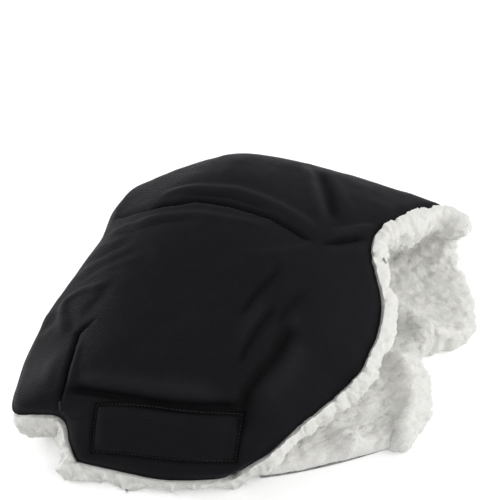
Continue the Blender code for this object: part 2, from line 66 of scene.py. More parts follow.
# Middle, left rim and right rim of each place as shares of width, depth and height, and how flat it stays between.
wrapShares = {
    "hem": ((-0.080, -0.110, 0.105), (-0.245, -0.105, 0.125), (0.085, -0.070, 0.125), 2.4),
    "tabMiddle": ((-0.075, -0.055, 0.290), (-0.270, -0.070, 0.190), (0.143, -0.025, 0.275), 4.0),
    "tabTop": ((-0.070, 0.015, 0.475), (-0.300, -0.025, 0.260), (0.200, 0.070, 0.305), 5.0),
    "nose": ((-0.070, 0.100, 0.590), (-0.400, -0.025, 0.225), (0.236, 0.127, 0.322), 4.0),
    "hoodLow": ((-0.080, 0.225, 0.720), (-0.418, 0.080, 0.325), (0.272, 0.190, 0.352), 2.6),
    "hood": ((-0.090, 0.375, 0.850), (-0.400, 0.225, 0.470), (0.315, 0.285, 0.440), 2.4),
    "hoodHigh": ((-0.090, 0.500, 0.940), (-0.368, 0.350, 0.575), (0.330, 0.440, 0.560), 2.3),
    "crease": ((-0.095, 0.600, 0.975), (-0.335, 0.465, 0.650), (0.285, 0.590, 0.725), 2.2),
    "crest": ((-0.060, 0.725, 0.995), (-0.325, 0.590, 0.735), (0.320, 0.695, 0.775), 1.5),
    "shoulder": ((-0.020, 0.840, 0.915), (-0.315, 0.675, 0.715), (0.390, 0.805, 0.690), 1.5),
    "rear": ((0.020, 0.920, 0.655), (-0.315, 0.750, 0.560), (0.455, 0.875, 0.560), 2.0),
    "rearLow": ((0.060, 0.930, 0.325), (-0.320, 0.780, 0.310), (0.450, 0.875, 0.300), 2.0),
    "underRear": ((0.080, 0.860, 0.060), (-0.330, 0.750, 0.060), (0.465, 0.800, 0.060), 2.0),
    "underBack": ((0.070, 0.725, 0.000), (-0.345, 0.625, 0.000), (0.515, 0.610, 0.000), 2.0),
    "underMiddle": ((0.020, 0.450, 0.000), (-0.380, 0.375, 0.000), (0.402, 0.455, 0.000), 2.0),
    "underFront": ((-0.040, 0.175, 0.000), (-0.370, 0.125, 0.000), (0.428, 0.285, 0.000), 2.0),
    "toe": ((-0.065, -0.045, 0.000), (-0.260, -0.020, 0.000), (0.395, 0.165, 0.000), 2.0),
}

# How deep each layer of the sheet lies under its outer face, in metres.
layers = {
    "twill": 0.0013,
    "wadding": (0.0034, 0.0072),
    "fleece": (0.0077, 0.0192),
    "facing": (0.0076, 0.0086),
    "hook": (0.0089, 0.0103),
    "loop": (0.0106, 0.0120),
    "tongue": 0.0123,
    "tongueThickness": 0.0015,
}

# Where the long pieces are parted, and where the two folds would bend them; nothing is bent here, and the wool grows
# no loose fibres across these bends.
parting = {
    "front": 0.100,  # along the wrap, between tab and hood
    "shoulder": 0.3886,  # between hood and rear
    "waistStart": (-0.067, 0.0888, 0.1204),
    "waistEnd": (-0.067, 0.0512, 0.1604),
    "foldPoint": (-0.0559, -0.1407, 0.0687),
    "foldAlong": (0.1187, -0.643, -0.766),
    "foldReach": (0.020, 0.052),  # start and end of the bend, from foldPoint towards foldAlong
}


def wrapPlaces():  # middles, left rims, right rims and powers of the places, in metres
    rows = list(wrapShares.values())
    size = np.array((muff["width"], muff["depth"], muff["height"]))
    middle, left, right = (np.array([row[i] for row in rows]) * size for i in range(3))
    upSlope = np.array((math.cos(muff["tabSlope"]), math.sin(muff["tabSlope"])))
    offSlope = np.array((-math.sin(muff["tabSlope"]), math.cos(muff["tabSlope"])))
    hem = np.array((middle[0, 1], muff["hemHeight"]))
    middle[0, 1:] = hem
    middle[1, 1:] = hem + upSlope * muff["tabLength"] / 2 + offSlope * muff["tabBow"]
    middle[2, 1:] = hem + upSlope * muff["tabLength"]
    corner = np.array(muff["corner"])
    return middle + corner, left + corner, right + corner, np.array([[row[3]] for row in rows])


middleLine, leftRim, rightRim, flatness = wrapPlaces()
places = np.concatenate(([0], np.cumsum(np.linalg.norm(np.diff(middleLine, axis=0), axis=1))))
place = dict(zip(wrapShares, places))
toe = place["toe"]


def cubicBetween(first, last, firstSlope, lastSlope, step, f):  # the cubic from first to last with these end slopes
    return (first * (2 * f**3 - 3 * f**2 + 1) + last * (3 * f**2 - 2 * f**3)
            + step * (firstSlope * (f**3 - 2 * f**2 + f) + lastSlope * (f**3 - f**2)))


def curveThrough(values, s):  # a cubic through the value at each place, with slopes weighed from both neighbours
    step = np.diff(places)[:, None]
    slope = np.diff(values, axis=0) / step
    inner = (slope[:-1] * step[1:] + slope[1:] * step[:-1]) / (step[1:] + step[:-1])
    tangent = np.concatenate((slope[:1], inner, slope[-1:]))
    i = np.clip(np.searchsorted(places, s, side="right") - 1, 0, len(places) - 2)
    f = ((s - places[i]) / np.diff(places)[i])[..., None]
    return cubicBetween(values[i], values[i + 1], tangent[i], tangent[i + 1], step[i], f)


def bareSheet(u, s):  # middle + (rim - middle) * (|u|, |u|^sweep, |u|^flatness), kept above the floor
    u, s = np.broadcast_arrays(np.asarray(u, float), np.asarray(s, float))
    middle = curveThrough(middleLine, s)
    rim = np.where(u[..., None] > 0, curveThrough(rightRim, s), curveThrough(leftRim, s))
    reach = np.abs(u)
    share = np.stack((reach, reach ** muff["sweepPower"], reach ** curveThrough(flatness, s)[..., 0]), axis=-1)
    point = middle + (rim - middle) * share
    point[..., 2] = np.maximum(point[..., 2], 0)
    return point


def unit(vectors):  # each vector divided by its own length
    return vectors / np.maximum(np.linalg.norm(vectors, axis=-1, keepdims=True), 1e-12)


def ramp(value, start, end):  # rises smoothly from 0 at start to 1 at end
    f = np.clip((value - start) / (end - start), 0, 1)
    return f * f * (3 - 2 * f)


def bell(away, halfWidth, power=2):  # 1 in the middle, falling as e to the minus (away / halfWidth)^power
    return np.exp(-(away / halfWidth) ** power)


def across(x, s):  # the u of a place x across
    middle, left, right = (curveThrough(v[:, :1], s)[..., 0] for v in (middleLine, leftRim, rightRim))
    return np.where(x > middle, (x - middle) / (right - middle), (x - middle) / (middle - left))


def stepAlong(u, s, ds=0.001):  # the sheet 1 mm further along - the sheet 1 mm before
    return bareSheet(u, np.minimum(s + ds, places[-1])) - bareSheet(u, np.maximum(s - ds, 0))


def inwardOf(u, s, du=0.01):  # the unit normal into the muff: step along crossed with step to the side
    side = bareSheet(np.minimum(u + du, 1), s) - bareSheet(np.maximum(u - du, -1), s)
    return unit(np.cross(stepAlong(u, s), side))


def alongOf(u, s):  # the unit direction along the wrap
    return unit(stepAlong(u, s))


def latticeValue(cells, seed):  # a number from 0 to 1 for each cell, from its three indices and the seed, stirred
    stirred = cells[..., 0] * 73856093 + cells[..., 1] * 19349663 + cells[..., 2] * 83492791 + seed * 2654435
    stirred = stirred & 0xFFFFFFFF
    stirred = ((stirred ^ (stirred >> 13)) * 1274126177) & 0xFFFFFFFF
    return ((stirred ^ (stirred >> 16)) & 0xFFFF) / 65535


def wander(points, size, seed):  # lattice values blended smoothly over cells of that size, from -1 to 1
    q = points / size
    base = np.floor(q).astype(np.int64)
    f = q - base
    f = f * f * (3 - 2 * f)
    total = 0
    for corner in np.ndindex(2, 2, 2):
        weight = np.prod(np.where(np.array(corner) == 1, f, 1 - f), axis=-1)
        total = total + weight * latticeValue(base + np.array(corner), seed)
    return total * 2 - 1


def clumps(points, size, seed):  # round tufts: 1 at a tuft's heart, falling to 0 in the valleys between tufts
    soft = 0.36  # how near two tufts come before they run into each other, in cells
    q = points / size
    base = np.floor(q).astype(np.int64)
    near = np.full(q.shape[:-1], 9.0)
    for corner in np.ndindex(3, 3, 3):
        cell = base + np.array(corner) - 1
        heart = cell + np.stack([latticeValue(cell, seed + k) for k in range(3)], axis=-1)
        away = np.linalg.norm(q - heart, axis=-1)
        blend = np.clip(0.5 + (near - away) / soft, 0, 1)
        near = near * (1 - blend) + away * blend - soft / 4 * blend * (1 - blend)
    return np.clip(1 - near * near, 0, 1)


# Folds of the twill as strokes: height and half width in mm, then the places it runs through as x and s in mm.
folds = [
    (2.2, 5.0, [(-126, 305), (-106, 304), (-80, 304), (-48, 308), (-23, 304), (-1, 298), (20, 292), (42, 286)]),
    (-4.0, 2.6, [(-172, 318), (-163, 310), (-131, 289), (-105, 284), (-82, 286), (-51, 286), (-27, 284), (-6, 282),
                 (11, 278), (25, 275), (39, 274)]),
    (-1.5, 2.4, [(-100, 292), (-80, 294), (-55, 296), (-30, 293), (-8, 290)]),
    (1.5, 4.0, [(-169, 287), (-142, 273), (-107, 269), (-78, 268), (-56, 269), (-28, 271), (-7, 271)]),
    (-1.2, 3.0, [(-165, 278), (-140, 263), (-107, 260), (-78, 260)]),
    (-4.4, 2.4, [(39, 274), (50, 280), (66, 289), (79, 297), (91, 305)]),
    (1.4, 3.0, [(42, 268), (54, 274), (68, 282), (81, 290), (92, 298)]),
    (2.6, 3.6, [(44, 284), (54, 291), (68, 301), (82, 312), (97, 324)]),
    (3.2, 6.5, [(10, 380), (15, 365), (27, 330), (40, 299), (42, 293)]),
    (-3.6, 5.5, [(28, 380), (33, 362), (43, 335), (49, 312), (50, 300)]),
    (1.0, 6.0, [(46, 372), (56, 345), (64, 325)]),
    (0.9, 3.0, [(38, 272), (29, 266), (9, 252), (-13, 240), (-24, 234)]),
    (-2.3, 4.8, [(12, 240), (7, 229), (-2, 210), (-9, 195), (-14, 180), (-19, 166)]),
    (1.7, 5.0, [(6, 200), (-2, 180), (-11, 156), (-14, 138)]),
    (-2.3, 4.8, [(13, 201), (9, 191), (2, 171), (-3, 153), (-6, 135), (-8, 116)]),
    (-1.6, 5.5, [(43, 233), (38, 225), (32, 217), (27, 207), (23, 197), (20, 189), (16, 175)]),
    (1.4, 5.5, [(38, 204), (33, 194), (27, 186), (21, 178)]),
    (-3.6, 7.0, [(35, 190), (29, 175), (25, 159), (22, 143), (18, 132), (13, 120), (8, 108), (4, 96), (3, 84),
                 (4, 66), (5, 50)]),
    (2.4, 9.0, [(46, 180), (40, 160), (36, 140), (31, 120), (24, 100), (18, 84)]),
    (-5.0, 5.0, [(-162, 93), (-156, 90), (-131, 81), (-108, 76), (-80, 73), (-53, 74), (-8, 77), (3, 82)]),
    (2.6, 9.0, [(-150, 100), (-126, 92), (-100, 88), (-70, 87), (-41, 87), (-15, 88)]),
    (-1.4, 2.6, [(-158, 64), (-148, 58), (-141, 54), (-133, 46)]),
    (-1.2, 2.6, [(-3, 14), (-3, 8), (-4, 0)]),
    (-4.4, 1.9, [(-148, 164), (-153, 161), (-160, 158), (-165, 154), (-165, 146), (-163, 123), (-162, 100),
                 (-165, 84), (-168, 72)]),
    (1.7, 2.6, [(-160, 148), (-158, 123), (-157, 100), (-160, 84)]),
    (1.8, 8.0, [(-181, 146), (-181, 120), (-180, 100)]),
    (3.0, 4.8, [(-143, 200), (-160, 203), (-176, 208), (-188, 208), (-190, 200), (-188, 186), (-175, 159)]),
    (-1.7, 8.0, [(-140, 196), (-149, 190), (-154, 184), (-161, 178), (-170, 172)]),
    (1.8, 6.5, [(-212, 181), (-201, 180), (-190, 174), (-178, 158)]),
    (1.4, 6.5, [(-215, 211), (-204, 203), (-194, 196)]),
    (-1.0, 6.0, [(-208, 192), (-199, 188), (-193, 180)]),
    (1.1, 5.5, [(-184, 221), (-161, 222), (-138, 221), (-115, 222)]),
    (-0.8, 5.0, [(-190, 231), (-160, 230), (-130, 229)]),
    (1.3, 5.5, [(-200, 249), (-175, 240), (-151, 238), (-128, 239)]),
    (-0.9, 5.0, [(-192, 260), (-180, 256), (-168, 250), (-150, 249), (-132, 249)]),
    (1.0, 5.0, [(-186, 270), (-171, 266), (-162, 260), (-140, 257)]),
]

folding = {
    "shift": 10.3,  # mm to the right, from where the folds were read to the frame
    "reach": 0.005,  # five half widths: metres for each mm of half width, past which a fold isn't felt
    "fadeLength": 0.020,  # over which a fold rises at each of its ends
    "longestFade": 0.45,  # the same as a share of a short fold
    "fadeStart": -0.02,
    "narrow": 3.5,  # half width in mm under which a valley has a crease's sharp bottom
    "creasePower": 1.25,
    "foldPower": 2.0,
    "fullTone": 0.006,  # height between a valley's darkest painted shade and a ridge's palest painted highlight
}


def awayFrom(x, y, a, b):  # the distance from the stretch between a and b, and the nearest place's share along it
    ab = b - a
    share = np.clip(((x - a[0]) * ab[0] + (y - a[1]) * ab[1]) / (ab @ ab), 0, 1)
    return np.hypot(x - a[0] - share * ab[0], y - a[1] - share * ab[1]), share


def strokeHeight(x, s):  # the sum of the folds, each a bell across its line that fades out at both its ends
    total = np.zeros(np.shape(x))
    for height, width, knots in folds:
        line = (np.array(knots, float) + (folding["shift"], 0)) / 1000
        reach = width * folding["reach"]
        low, high = line.min(axis=0) - reach, line.max(axis=0) + reach
        close = (x > low[0]) & (x < high[0]) & (s > low[1]) & (s < high[1])
        if not close.any():
            continue
        lengths = np.linalg.norm(np.diff(line, axis=0), axis=1)
        marks = np.concatenate(([0], np.cumsum(lengths))) / lengths.sum()
        best, where = np.full(x[close].shape, 9.0), np.zeros(x[close].shape)
        for a, b, markA, markB in zip(line, line[1:], marks, marks[1:]):
            away, share = awayFrom(x[close], s[close], a, b)
            nearer = away < best
            best = np.where(nearer, away, best)
            where = np.where(nearer, markA + (markB - markA) * share, where)
        ends = folding["fadeStart"], min(folding["longestFade"], folding["fadeLength"] / lengths.sum())
        power = folding["creasePower"] if height < 0 and width < folding["narrow"] else folding["foldPower"]
        total[close] += height / 1000 * bell(best, width / 1000, power) * (ramp(where, *ends) * ramp(1 - where, *ends))
    return total


tapeSeam = {
    "corners": [(-0.1194, 0.0185), (0.0138, 0.0255), (0.0148, 0.0705), (-0.1189, 0.0680)],  # x and s
    "sink": 0.0032,
    "halfWidth": 0.0024,
    "pitch": 0.0033,  # from stitch to stitch
    "thread": 0.00042,
    "lift": 0.0003,  # how far the stitches stand off the cloth
}


def seamDepth(x, s):  # how far the stitched rectangle sinks: a bell across each of its four lines
    total = np.zeros(np.shape(x))
    ring = tapeSeam["corners"]
    for a, b in zip(ring, ring[1:] + ring[:1]):
        away = awayFrom(x, s, np.array(a), np.array(b))[0]
        total = np.maximum(total, bell(away, tapeSeam["halfWidth"]))
    return total * tapeSeam["sink"]


puff = {
    "edgeDrop": 0.0042,  # how far the padded sheet rounds off at its rims and hem
    "edgeReach": 0.0065,
    "edgeUnder": 0.35,  # the share of that which is left underneath
    "slowSwell": 0.0011,
    "slowSize": 0.034,
    "quickSwell": 0.00035,
    "quickSize": 0.011,
    "swellUnder": 0.15,
    "tapePanel": 0.0020,  # how far the cloth over the tape stands up
    "tapeCalm": 0.75,  # the share of the swellings that the tape takes away
    "tapeLeft": (-0.118, -0.108),  # the panel's four sides, from where it starts to where it is whole
    "tapeRight": (-0.006, 0.004),  # this one and the last count backwards
    "tapeLow": (0.020, 0.030),
    "tapeHigh": (-0.066, -0.056),
}


def overTape(x, s):  # 1 over the tape, falling to 0 past its four sides
    return (ramp(x, *puff["tapeLeft"]) * ramp(-x, *puff["tapeRight"])
            * ramp(s, *puff["tapeLow"]) * ramp(-s, *puff["tapeHigh"]))


def reliefOf(u, s, point):  # folds - seam + tape panel - rounded edges + swellings, outward from the bare sheet
    x = point[..., 0]
    halfWidth = 0.5 * np.linalg.norm(bareSheet(np.ones_like(s), s) - bareSheet(-np.ones_like(s), s), axis=-1)
    rim = (1 - np.abs(u)) * halfWidth
    upward = 1 - ramp(s, place["rearLow"], place["underRear"])
    edge = puff["edgeDrop"] * (bell(rim, puff["edgeReach"]) + bell(s, puff["edgeReach"]))
    edge = edge * (puff["edgeUnder"] + (1 - puff["edgeUnder"]) * upward)
    swell = (puff["slowSwell"] * wander(point + 0.3, puff["slowSize"], 3)
             + puff["quickSwell"] * wander(point, puff["quickSize"], 5))
    onTape = overTape(x, s)
    swell = swell * (1 - onTape * puff["tapeCalm"]) * (puff["swellUnder"] + (1 - puff["swellUnder"]) * upward)
    return strokeHeight(x, s) - seamDepth(x, s) + puff["tapePanel"] * onTape - edge + swell


def foldTone(u, s):  # painted shade and highlight of the folds: 0 in the valleys, 0.5 where the cloth is plain, 1 on the ridges
    x = bareSheet(u, s)[..., 0]
    return np.clip(0.5 + (strokeHeight(x, s) - seamDepth(x, s)) / folding["fullTone"], 0, 1)


def twillAt(u, s, depth):  # bare sheet + relief outward - depth
    u, s = np.broadcast_arrays(np.asarray(u, float), np.asarray(s, float))
    point = bareSheet(u, s)
    return point - inwardOf(u, s) * (reliefOf(u, s, point) - depth)[..., None]


def chord(s):  # from rim to rim
    return np.linalg.norm(bareSheet(1.0, s) - bareSheet(-1.0, s))


def columns(step, s, arcOverChord=1.15, crowding=1.25):  # half an even spread, half a sine's, closer at the rims
    even = np.linspace(-1, 1, int(chord(s) * arcOverChord / step))
    return np.sin(even * crowding) / math.sin(crowding) * 0.5 + even * 0.5


def shaderOf(name, **sockets):  # a material and its shader, with sockets set by name, _ for a space
    material = bpy.data.materials.new(name)
    material.use_nodes = True
    shader = material.node_tree.nodes["Principled BSDF"]
    for key, value in sockets.items():
        shader.inputs[key.replace("_", " ")].default_value = value
    return material, material.node_tree, shader


def node(tree, kind, **values):  # a new node, its settings or sockets set by name
    made = tree.nodes.new(kind)
    for key, value in values.items():
        if hasattr(made, key):
            setattr(made, key, value)
        else:
            made.inputs[key.replace("_", " ")].default_value = value
    return made


def mixOf(tree, share, first, second):  # first + (second - first) * share
    made = node(tree, "ShaderNodeMix", data_type="FLOAT", Factor=share)
    tree.links.new(first, made.inputs[2])
    tree.links.new(second, made.inputs[3])
    return made.outputs[0]


def scaledSum(tree, value, scale, added):  # value * scale + added
    made = node(tree, "ShaderNodeMath", operation="MULTIPLY_ADD")
    made.inputs[1].default_value = scale
    tree.links.new(value, made.inputs[0])
    tree.links.new(added, made.inputs[2])
    return made.outputs[0]


def paint(tree, shader, value, stops):  # the base colour from a value, through (place, colour) stops
    made = tree.nodes.new("ShaderNodeValToRGB")
    elements = made.color_ramp.elements
    while len(elements) < len(stops):
        elements.new(0.5)
    for element, (at, colour) in zip(elements, stops):
        element.position, element.color = at, (*colour, 1)
    tree.links.new(value, made.inputs["Fac"])
    tree.links.new(made.outputs["Color"], shader.inputs["Base Color"])


def emboss(tree, shader, value, strength, distance):  # a bump from a value
    made = node(tree, "ShaderNodeBump", Strength=strength, Distance=distance)
    tree.links.new(value, made.inputs["Height"])
    tree.links.new(made.outputs["Normal"], shader.inputs["Normal"])


twillLook = {
    "dark": (0.0014, 0.0014, 0.0017),
    "light": (0.0170, 0.0172, 0.0200),
    "roughness": 0.44,
    "gloss": 0.035,
    "sheen": 0.11,
    "sheenRoughness": 0.30,
    "sheenTint": (0.55, 0.57, 0.66),
    "slant": math.radians(-52),
    "pitch": 0.0021,  # between the weave's diagonal lines
    "crossPitch": 0.0015,
    "crossShare": 0.35,  # how much of the weave is the finer threads
    "flecks": 55,
    "fleckShare": 0.4,
    "foldShare": 0.55,  # how much the folds' painted shade darkens the valleys and their painted highlight pales the ridges
    "bump": 0.55,
    "bumpHeight": 0.0006,
}


def twillMaterial(name, look):  # diagonal wales from a wave along the cloth's own map, crossed by finer threads
    material, tree, shader = shaderOf(
        name, Roughness=look["roughness"], Specular_IOR_Level=look["gloss"], Sheen_Weight=look["sheen"],
        Sheen_Roughness=look["sheenRoughness"], Sheen_Tint=(*look["sheenTint"], 1))
    link = tree.links.new
    cloth = node(tree, "ShaderNodeUVMap", uv_map="cloth")
    turned = node(tree, "ShaderNodeMapping", Rotation=(0, 0, look["slant"]))
    perWave = math.pi / 10  # a wave texture's scale for one line a metre
    wale = node(tree, "ShaderNodeTexWave", Scale=perWave / look["pitch"], Distortion=0.6, Detail=1.0)
    cross = node(tree, "ShaderNodeTexWave", bands_direction="Y", Scale=perWave / look["crossPitch"], Distortion=0.4)
    fleck = node(tree, "ShaderNodeTexNoise", Scale=look["flecks"], Detail=5.0, Roughness=0.6)
    creased = node(tree, "ShaderNodeAttribute", attribute_name="fold")
    link(cloth.outputs["UV"], turned.inputs["Vector"])
    link(cloth.outputs["UV"], fleck.inputs["Vector"])
    link(turned.outputs["Vector"], wale.inputs["Vector"])
    link(turned.outputs["Vector"], cross.inputs["Vector"])
    threads = mixOf(tree, look["crossShare"], wale.outputs["Fac"], cross.outputs["Fac"])
    tone = mixOf(tree, look["fleckShare"], threads, fleck.outputs["Fac"])
    # painted shade in the fold valleys and a painted highlight on the ridges, from the fold tone kept with the mesh
    foldShaded = mixOf(tree, look["foldShare"], tone, creased.outputs["Fac"])
    paint(tree, shader, foldShaded, [(0.15, look["dark"]), (0.85, look["light"])])
    emboss(tree, shader, threads, look["bump"], look["bumpHeight"])
    return material


woolLook = {
    # painted shade between tufts, a little creamier as well, the wool's own body colour, and a painted highlight on
    # the tufts' tops
    "creviceShade": (0.55, 0.53, 0.46),
    "body": (0.84, 0.835, 0.79),
    "tipHighlight": (0.90, 0.895, 0.855),
    "roughness": 0.95,
    "gloss": 0.1,
    "sheen": 0.3,
    "sheenRoughness": 0.7,
    "softness": 0.25,
    "softReach": (0.006, 0.0055, 0.005),
    "softScale": 0.6,
    "curls": 380,
    "curlShare": 0.30,
    "patches": 38,
    "patchShare": 0.25,
    "bump": 0.8,
    "bumpHeight": 0.0020,
}


def woolMaterial(name, look):  # painted highlight on the tufts' tops and painted shade between tufts, with a creamier tint of the wool's own there, by the height kept with the mesh
    material, tree, shader = shaderOf(
        name, Roughness=look["roughness"], Specular_IOR_Level=look["gloss"], Sheen_Weight=look["sheen"],
        Sheen_Roughness=look["sheenRoughness"], Subsurface_Weight=look["softness"],
        Subsurface_Radius=look["softReach"], Subsurface_Scale=look["softScale"])
    height = node(tree, "ShaderNodeAttribute", attribute_name="tuft")
    spot = node(tree, "ShaderNodeTexCoord")
    curl = node(tree, "ShaderNodeTexNoise", Scale=look["curls"], Detail=5.0, Roughness=0.7)
    patch = node(tree, "ShaderNodeTexNoise", Scale=look["patches"], Detail=2.0)
    tree.links.new(spot.outputs["Object"], curl.inputs["Vector"])
    tree.links.new(spot.outputs["Object"], patch.inputs["Vector"])
    shade = scaledSum(tree, curl.outputs["Fac"], look["curlShare"], height.outputs["Fac"])
    shade = scaledSum(tree, patch.outputs["Fac"], look["patchShare"], shade)
    # painted shade in the crevices between tufts and a painted highlight on their tops, plus the noises' random tone
    paint(tree, shader, shade, [(0.30, look["creviceShade"]), (0.62, look["body"]), (1.0, look["tipHighlight"])])
    emboss(tree, shader, curl.outputs["Fac"], look["bump"], look["bumpHeight"])
    return material


fibreLook = {  # what tape, thread and wadding have in common
    "gloss": 0.25,
    "sheen": 0.2,
    "shades": (0.7, 1.25),  # the darkest and palest fibre, as shares of the colour
    "bump": 0.7,
}


def fibreMaterial(name, colour, roughness, scale, bumpHeight):  # mottled by fine noise
    material, tree, shader = shaderOf(
        name, Roughness=roughness, Specular_IOR_Level=fibreLook["gloss"], Sheen_Weight=fibreLook["sheen"])
    spot = node(tree, "ShaderNodeTexCoord")
    fuzz = node(tree, "ShaderNodeTexNoise", Scale=scale, Detail=4.0, Roughness=0.7)
    tree.links.new(spot.outputs["Object"], fuzz.inputs["Vector"])
    low, high = (tuple(c * k for c in colour) for k in fibreLook["shades"])
    paint(tree, shader, fuzz.outputs["Fac"], [(0.3, low), (0.7, high)])
    emboss(tree, shader, fuzz.outputs["Fac"], fibreLook["bump"], bumpHeight)
    return material


fabric = {
    "twill": twillMaterial("black twill weave", twillLook),
    "wool": woolMaterial("cream lambswool pile", woolLook),
    "wadding": fibreMaterial("white wadding fibre", (0.80, 0.80, 0.78), 0.95, 900, 0.0006),
    "tape": fibreMaterial("black tape pile", (0.020, 0.020, 0.022), 0.88, 2400, 0.0005),
    "thread": fibreMaterial("black sewing thread", (0.004, 0.004, 0.005), 0.55, 1600, 0.0002),
}
hardEdge = math.radians(62)  # between faces that aren't smoothed into each other


def piece(name, points, faces, kind, cloth=None, tuft=None, fold=None):  # a mesh at the origin, kept above the floor
    mesh = bpy.data.meshes.new(name)
    points = points.copy()
    points[:, 2] = np.maximum(points[:, 2], 0.0)
    mesh.from_pydata(points.tolist(), [], faces)
    mesh.shade_smooth()
    mesh.set_sharp_from_angle(angle=hardEdge)
    if cloth is not None:
        corner = np.empty(len(mesh.loops), dtype=np.int32)
        mesh.loops.foreach_get("vertex_index", corner)
        mesh.uv_layers.new(name="cloth").uv.foreach_set("vector", cloth[corner].astype(np.float32).ravel())
    for attribute, values in (("tuft", tuft), ("fold", fold)):
        if values is not None:
            mesh.attributes.new(attribute, "FLOAT", "POINT").data.foreach_set("value", values.astype(np.float32))
    mesh.materials.append(fabric[kind])
    thing = bpy.data.objects.new(name, mesh)
    bpy.context.scene.collection.objects.link(thing)
    return thing


def loftFaces(rows, count):  # quads round closed sections, and one face over each end
    index = np.arange(rows * count).reshape(rows, count)
    after = np.roll(index, -1, axis=1)
    quads = np.stack((index[:-1], after[:-1], after[1:], index[1:]), axis=-1).reshape(-1, 4)
    return [*quads.tolist(), index[0, ::-1].tolist(), index[-1].tolist()]


def tubeFaces(first, count, rings, sides):  # many short tubes: quads round each, and one face over each end
    index = first + np.arange(count * rings * sides).reshape(count, rings, sides)
    after = np.roll(index, -1, axis=2)
    quads = np.stack((index[:, :-1], after[:, :-1], after[:, 1:], index[:, 1:]), axis=-1).reshape(-1, 4)
    return [*quads.tolist(), *np.concatenate((index[:, 0, ::-1], index[:, -1])).tolist()]


def tubePoints(path, sideA, sideB, sides, width):  # path + width * (cos * side A + sin * side B)
    turn = np.arange(sides) * 2 * math.pi / sides
    ring = np.cos(turn)[None, :, None] * sideA[:, None] + np.sin(turn)[None, :, None] * sideB[:, None]
    return (path[:, :, None] + ring[:, None] * width[None, :, None, None]).reshape(-1, 3)


def padBetween(name, outer, inner, kind, cloth=None, fold=None):  # a closed slab between two faces on the same grid
    sections = np.concatenate((outer, inner[:, ::-1]), axis=1)
    if cloth is not None:
        # plain cloth, without painted fold shade or highlight
        fold = np.full(outer.shape[:2], 0.5) if fold is None else fold
        fold = np.concatenate((fold, fold[:, ::-1]), axis=1).ravel()
        cloth = np.concatenate((cloth, cloth[:, ::-1]), axis=1).reshape(-1, 2)
    return piece(name, sections.reshape(-1, 3), loftFaces(*sections.shape[:2]), kind, cloth=cloth, fold=fold)


def clothMap(outer, s):  # metres across, measured along each row from near its middle, and metres along
    steps = np.linalg.norm(np.diff(outer, axis=1), axis=-1)
    run = np.concatenate((np.zeros((len(outer), 1)), np.cumsum(steps, axis=1)), axis=1)
    zero = run.shape[1] * 45 // 100  # the column that runs nearest the wrap's middle
    return np.stack((run - run[:, zero][:, None], s), axis=-1)


def panelGrid(first, last, step):  # u and s of a panel between two places along the wrap
    return np.meshgrid(columns(step, (first + last) / 2), np.linspace(first, last, int((last - first) / step) + 1))


def twillPiece(name, first, last, step):  # one panel of the outer cloth, with both its faces
    u, s = panelGrid(first, last, step)
    outer, inner = twillAt(u, s, 0.0), twillAt(u, s, layers["twill"])
    return padBetween(name, outer, inner, "twill", cloth=clothMap(outer, s), fold=foldTone(u, s))


foldSpot, foldWay = np.array(parting["foldPoint"]), unit(np.array(parting["foldAlong"]))
foldBend = [tuple(foldSpot + foldWay * p) for p in parting["foldReach"]]
waistBend = [parting["waistStart"], parting["waistEnd"]]


def bendWaist(thing):  # only bakes its place into the mesh; nothing bends it at the crease across the top, with back before it and hood past it
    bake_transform(thing)


def bendFold(thing):  # only bakes its place into the mesh; nothing bends it at the tab's fold, with hood before it and tab past it
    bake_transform(thing)


panels = {
    "step": 0.0016,  # size of the mesh's faces
    "rearStep": 0.0030,
    "toeGap": 0.0004,
}
frontTwill = twillPiece("frontTwill", 0.0, parting["front"], panels["step"])
hoodTwill = twillPiece("hoodTwill", parting["front"], parting["shoulder"], panels["step"])
rearTwill = twillPiece("rearTwill", parting["shoulder"], toe - panels["toeGap"], panels["rearStep"])
bendFold(frontTwill)
bendWaist(hoodTwill)
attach(rearTwill, "back")
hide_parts("tab_shell")
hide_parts("upper_shell")
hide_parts("back_shell")
print("outer twill done")

padding = {
    "step": 0.004,  # size of the mesh's faces
    "rearStep": 0.006,
    "hemGap": 0.0015,
    "toeGap": 0.014,
    "thin": 0.0008,  # how thick the wadding stays where the twill dips
    "pressed": 0.0004,  # under the deepest creases, and its gap to the twill there
    "nearby": ((0.009, 0), (-0.009, 0), (0, 0.002), (0, -0.002)),  # steps in u and s to look for a crease
}


def waddingPiece(name, first, last, step):  # it swells with the cloth, and creases press it flat but not through
    u, s = panelGrid(first, last, step)
    point, inward = bareSheet(u, s), inwardOf(u, s)
    relief = reliefOf(u, s, point)
    lowest = relief
    for du, ds in padding["nearby"]:
        nearU, nearS = np.clip(u + du, -1, 1), np.clip(s + ds, 0, places[-1])
        lowest = np.minimum(lowest, reliefOf(nearU, nearS, bareSheet(nearU, nearS)))
    top, bottom = layers["wadding"]
    under = bottom - np.maximum(relief, 0)
    over = np.maximum(np.minimum(top - lowest, under - padding["thin"]), layers["twill"] + padding["pressed"] - lowest)
    under = np.maximum(under, over + padding["pressed"])
    return padBetween(name, point + inward * over[..., None], point + inward * under[..., None], "wadding")


frontWadding = waddingPiece("frontWadding", padding["hemGap"], parting["front"], padding["step"])
hoodWadding = waddingPiece("hoodWadding", parting["front"], parting["shoulder"], padding["step"])
rearWadding = waddingPiece("rearWadding", parting["shoulder"], toe - padding["toeGap"], padding["rearStep"])
bendFold(frontWadding)
bendWaist(hoodWadding)
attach(rearWadding, "back")
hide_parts("tab_wadding")
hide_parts("upper_wadding")
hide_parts("back_wadding")
print("wadding done")

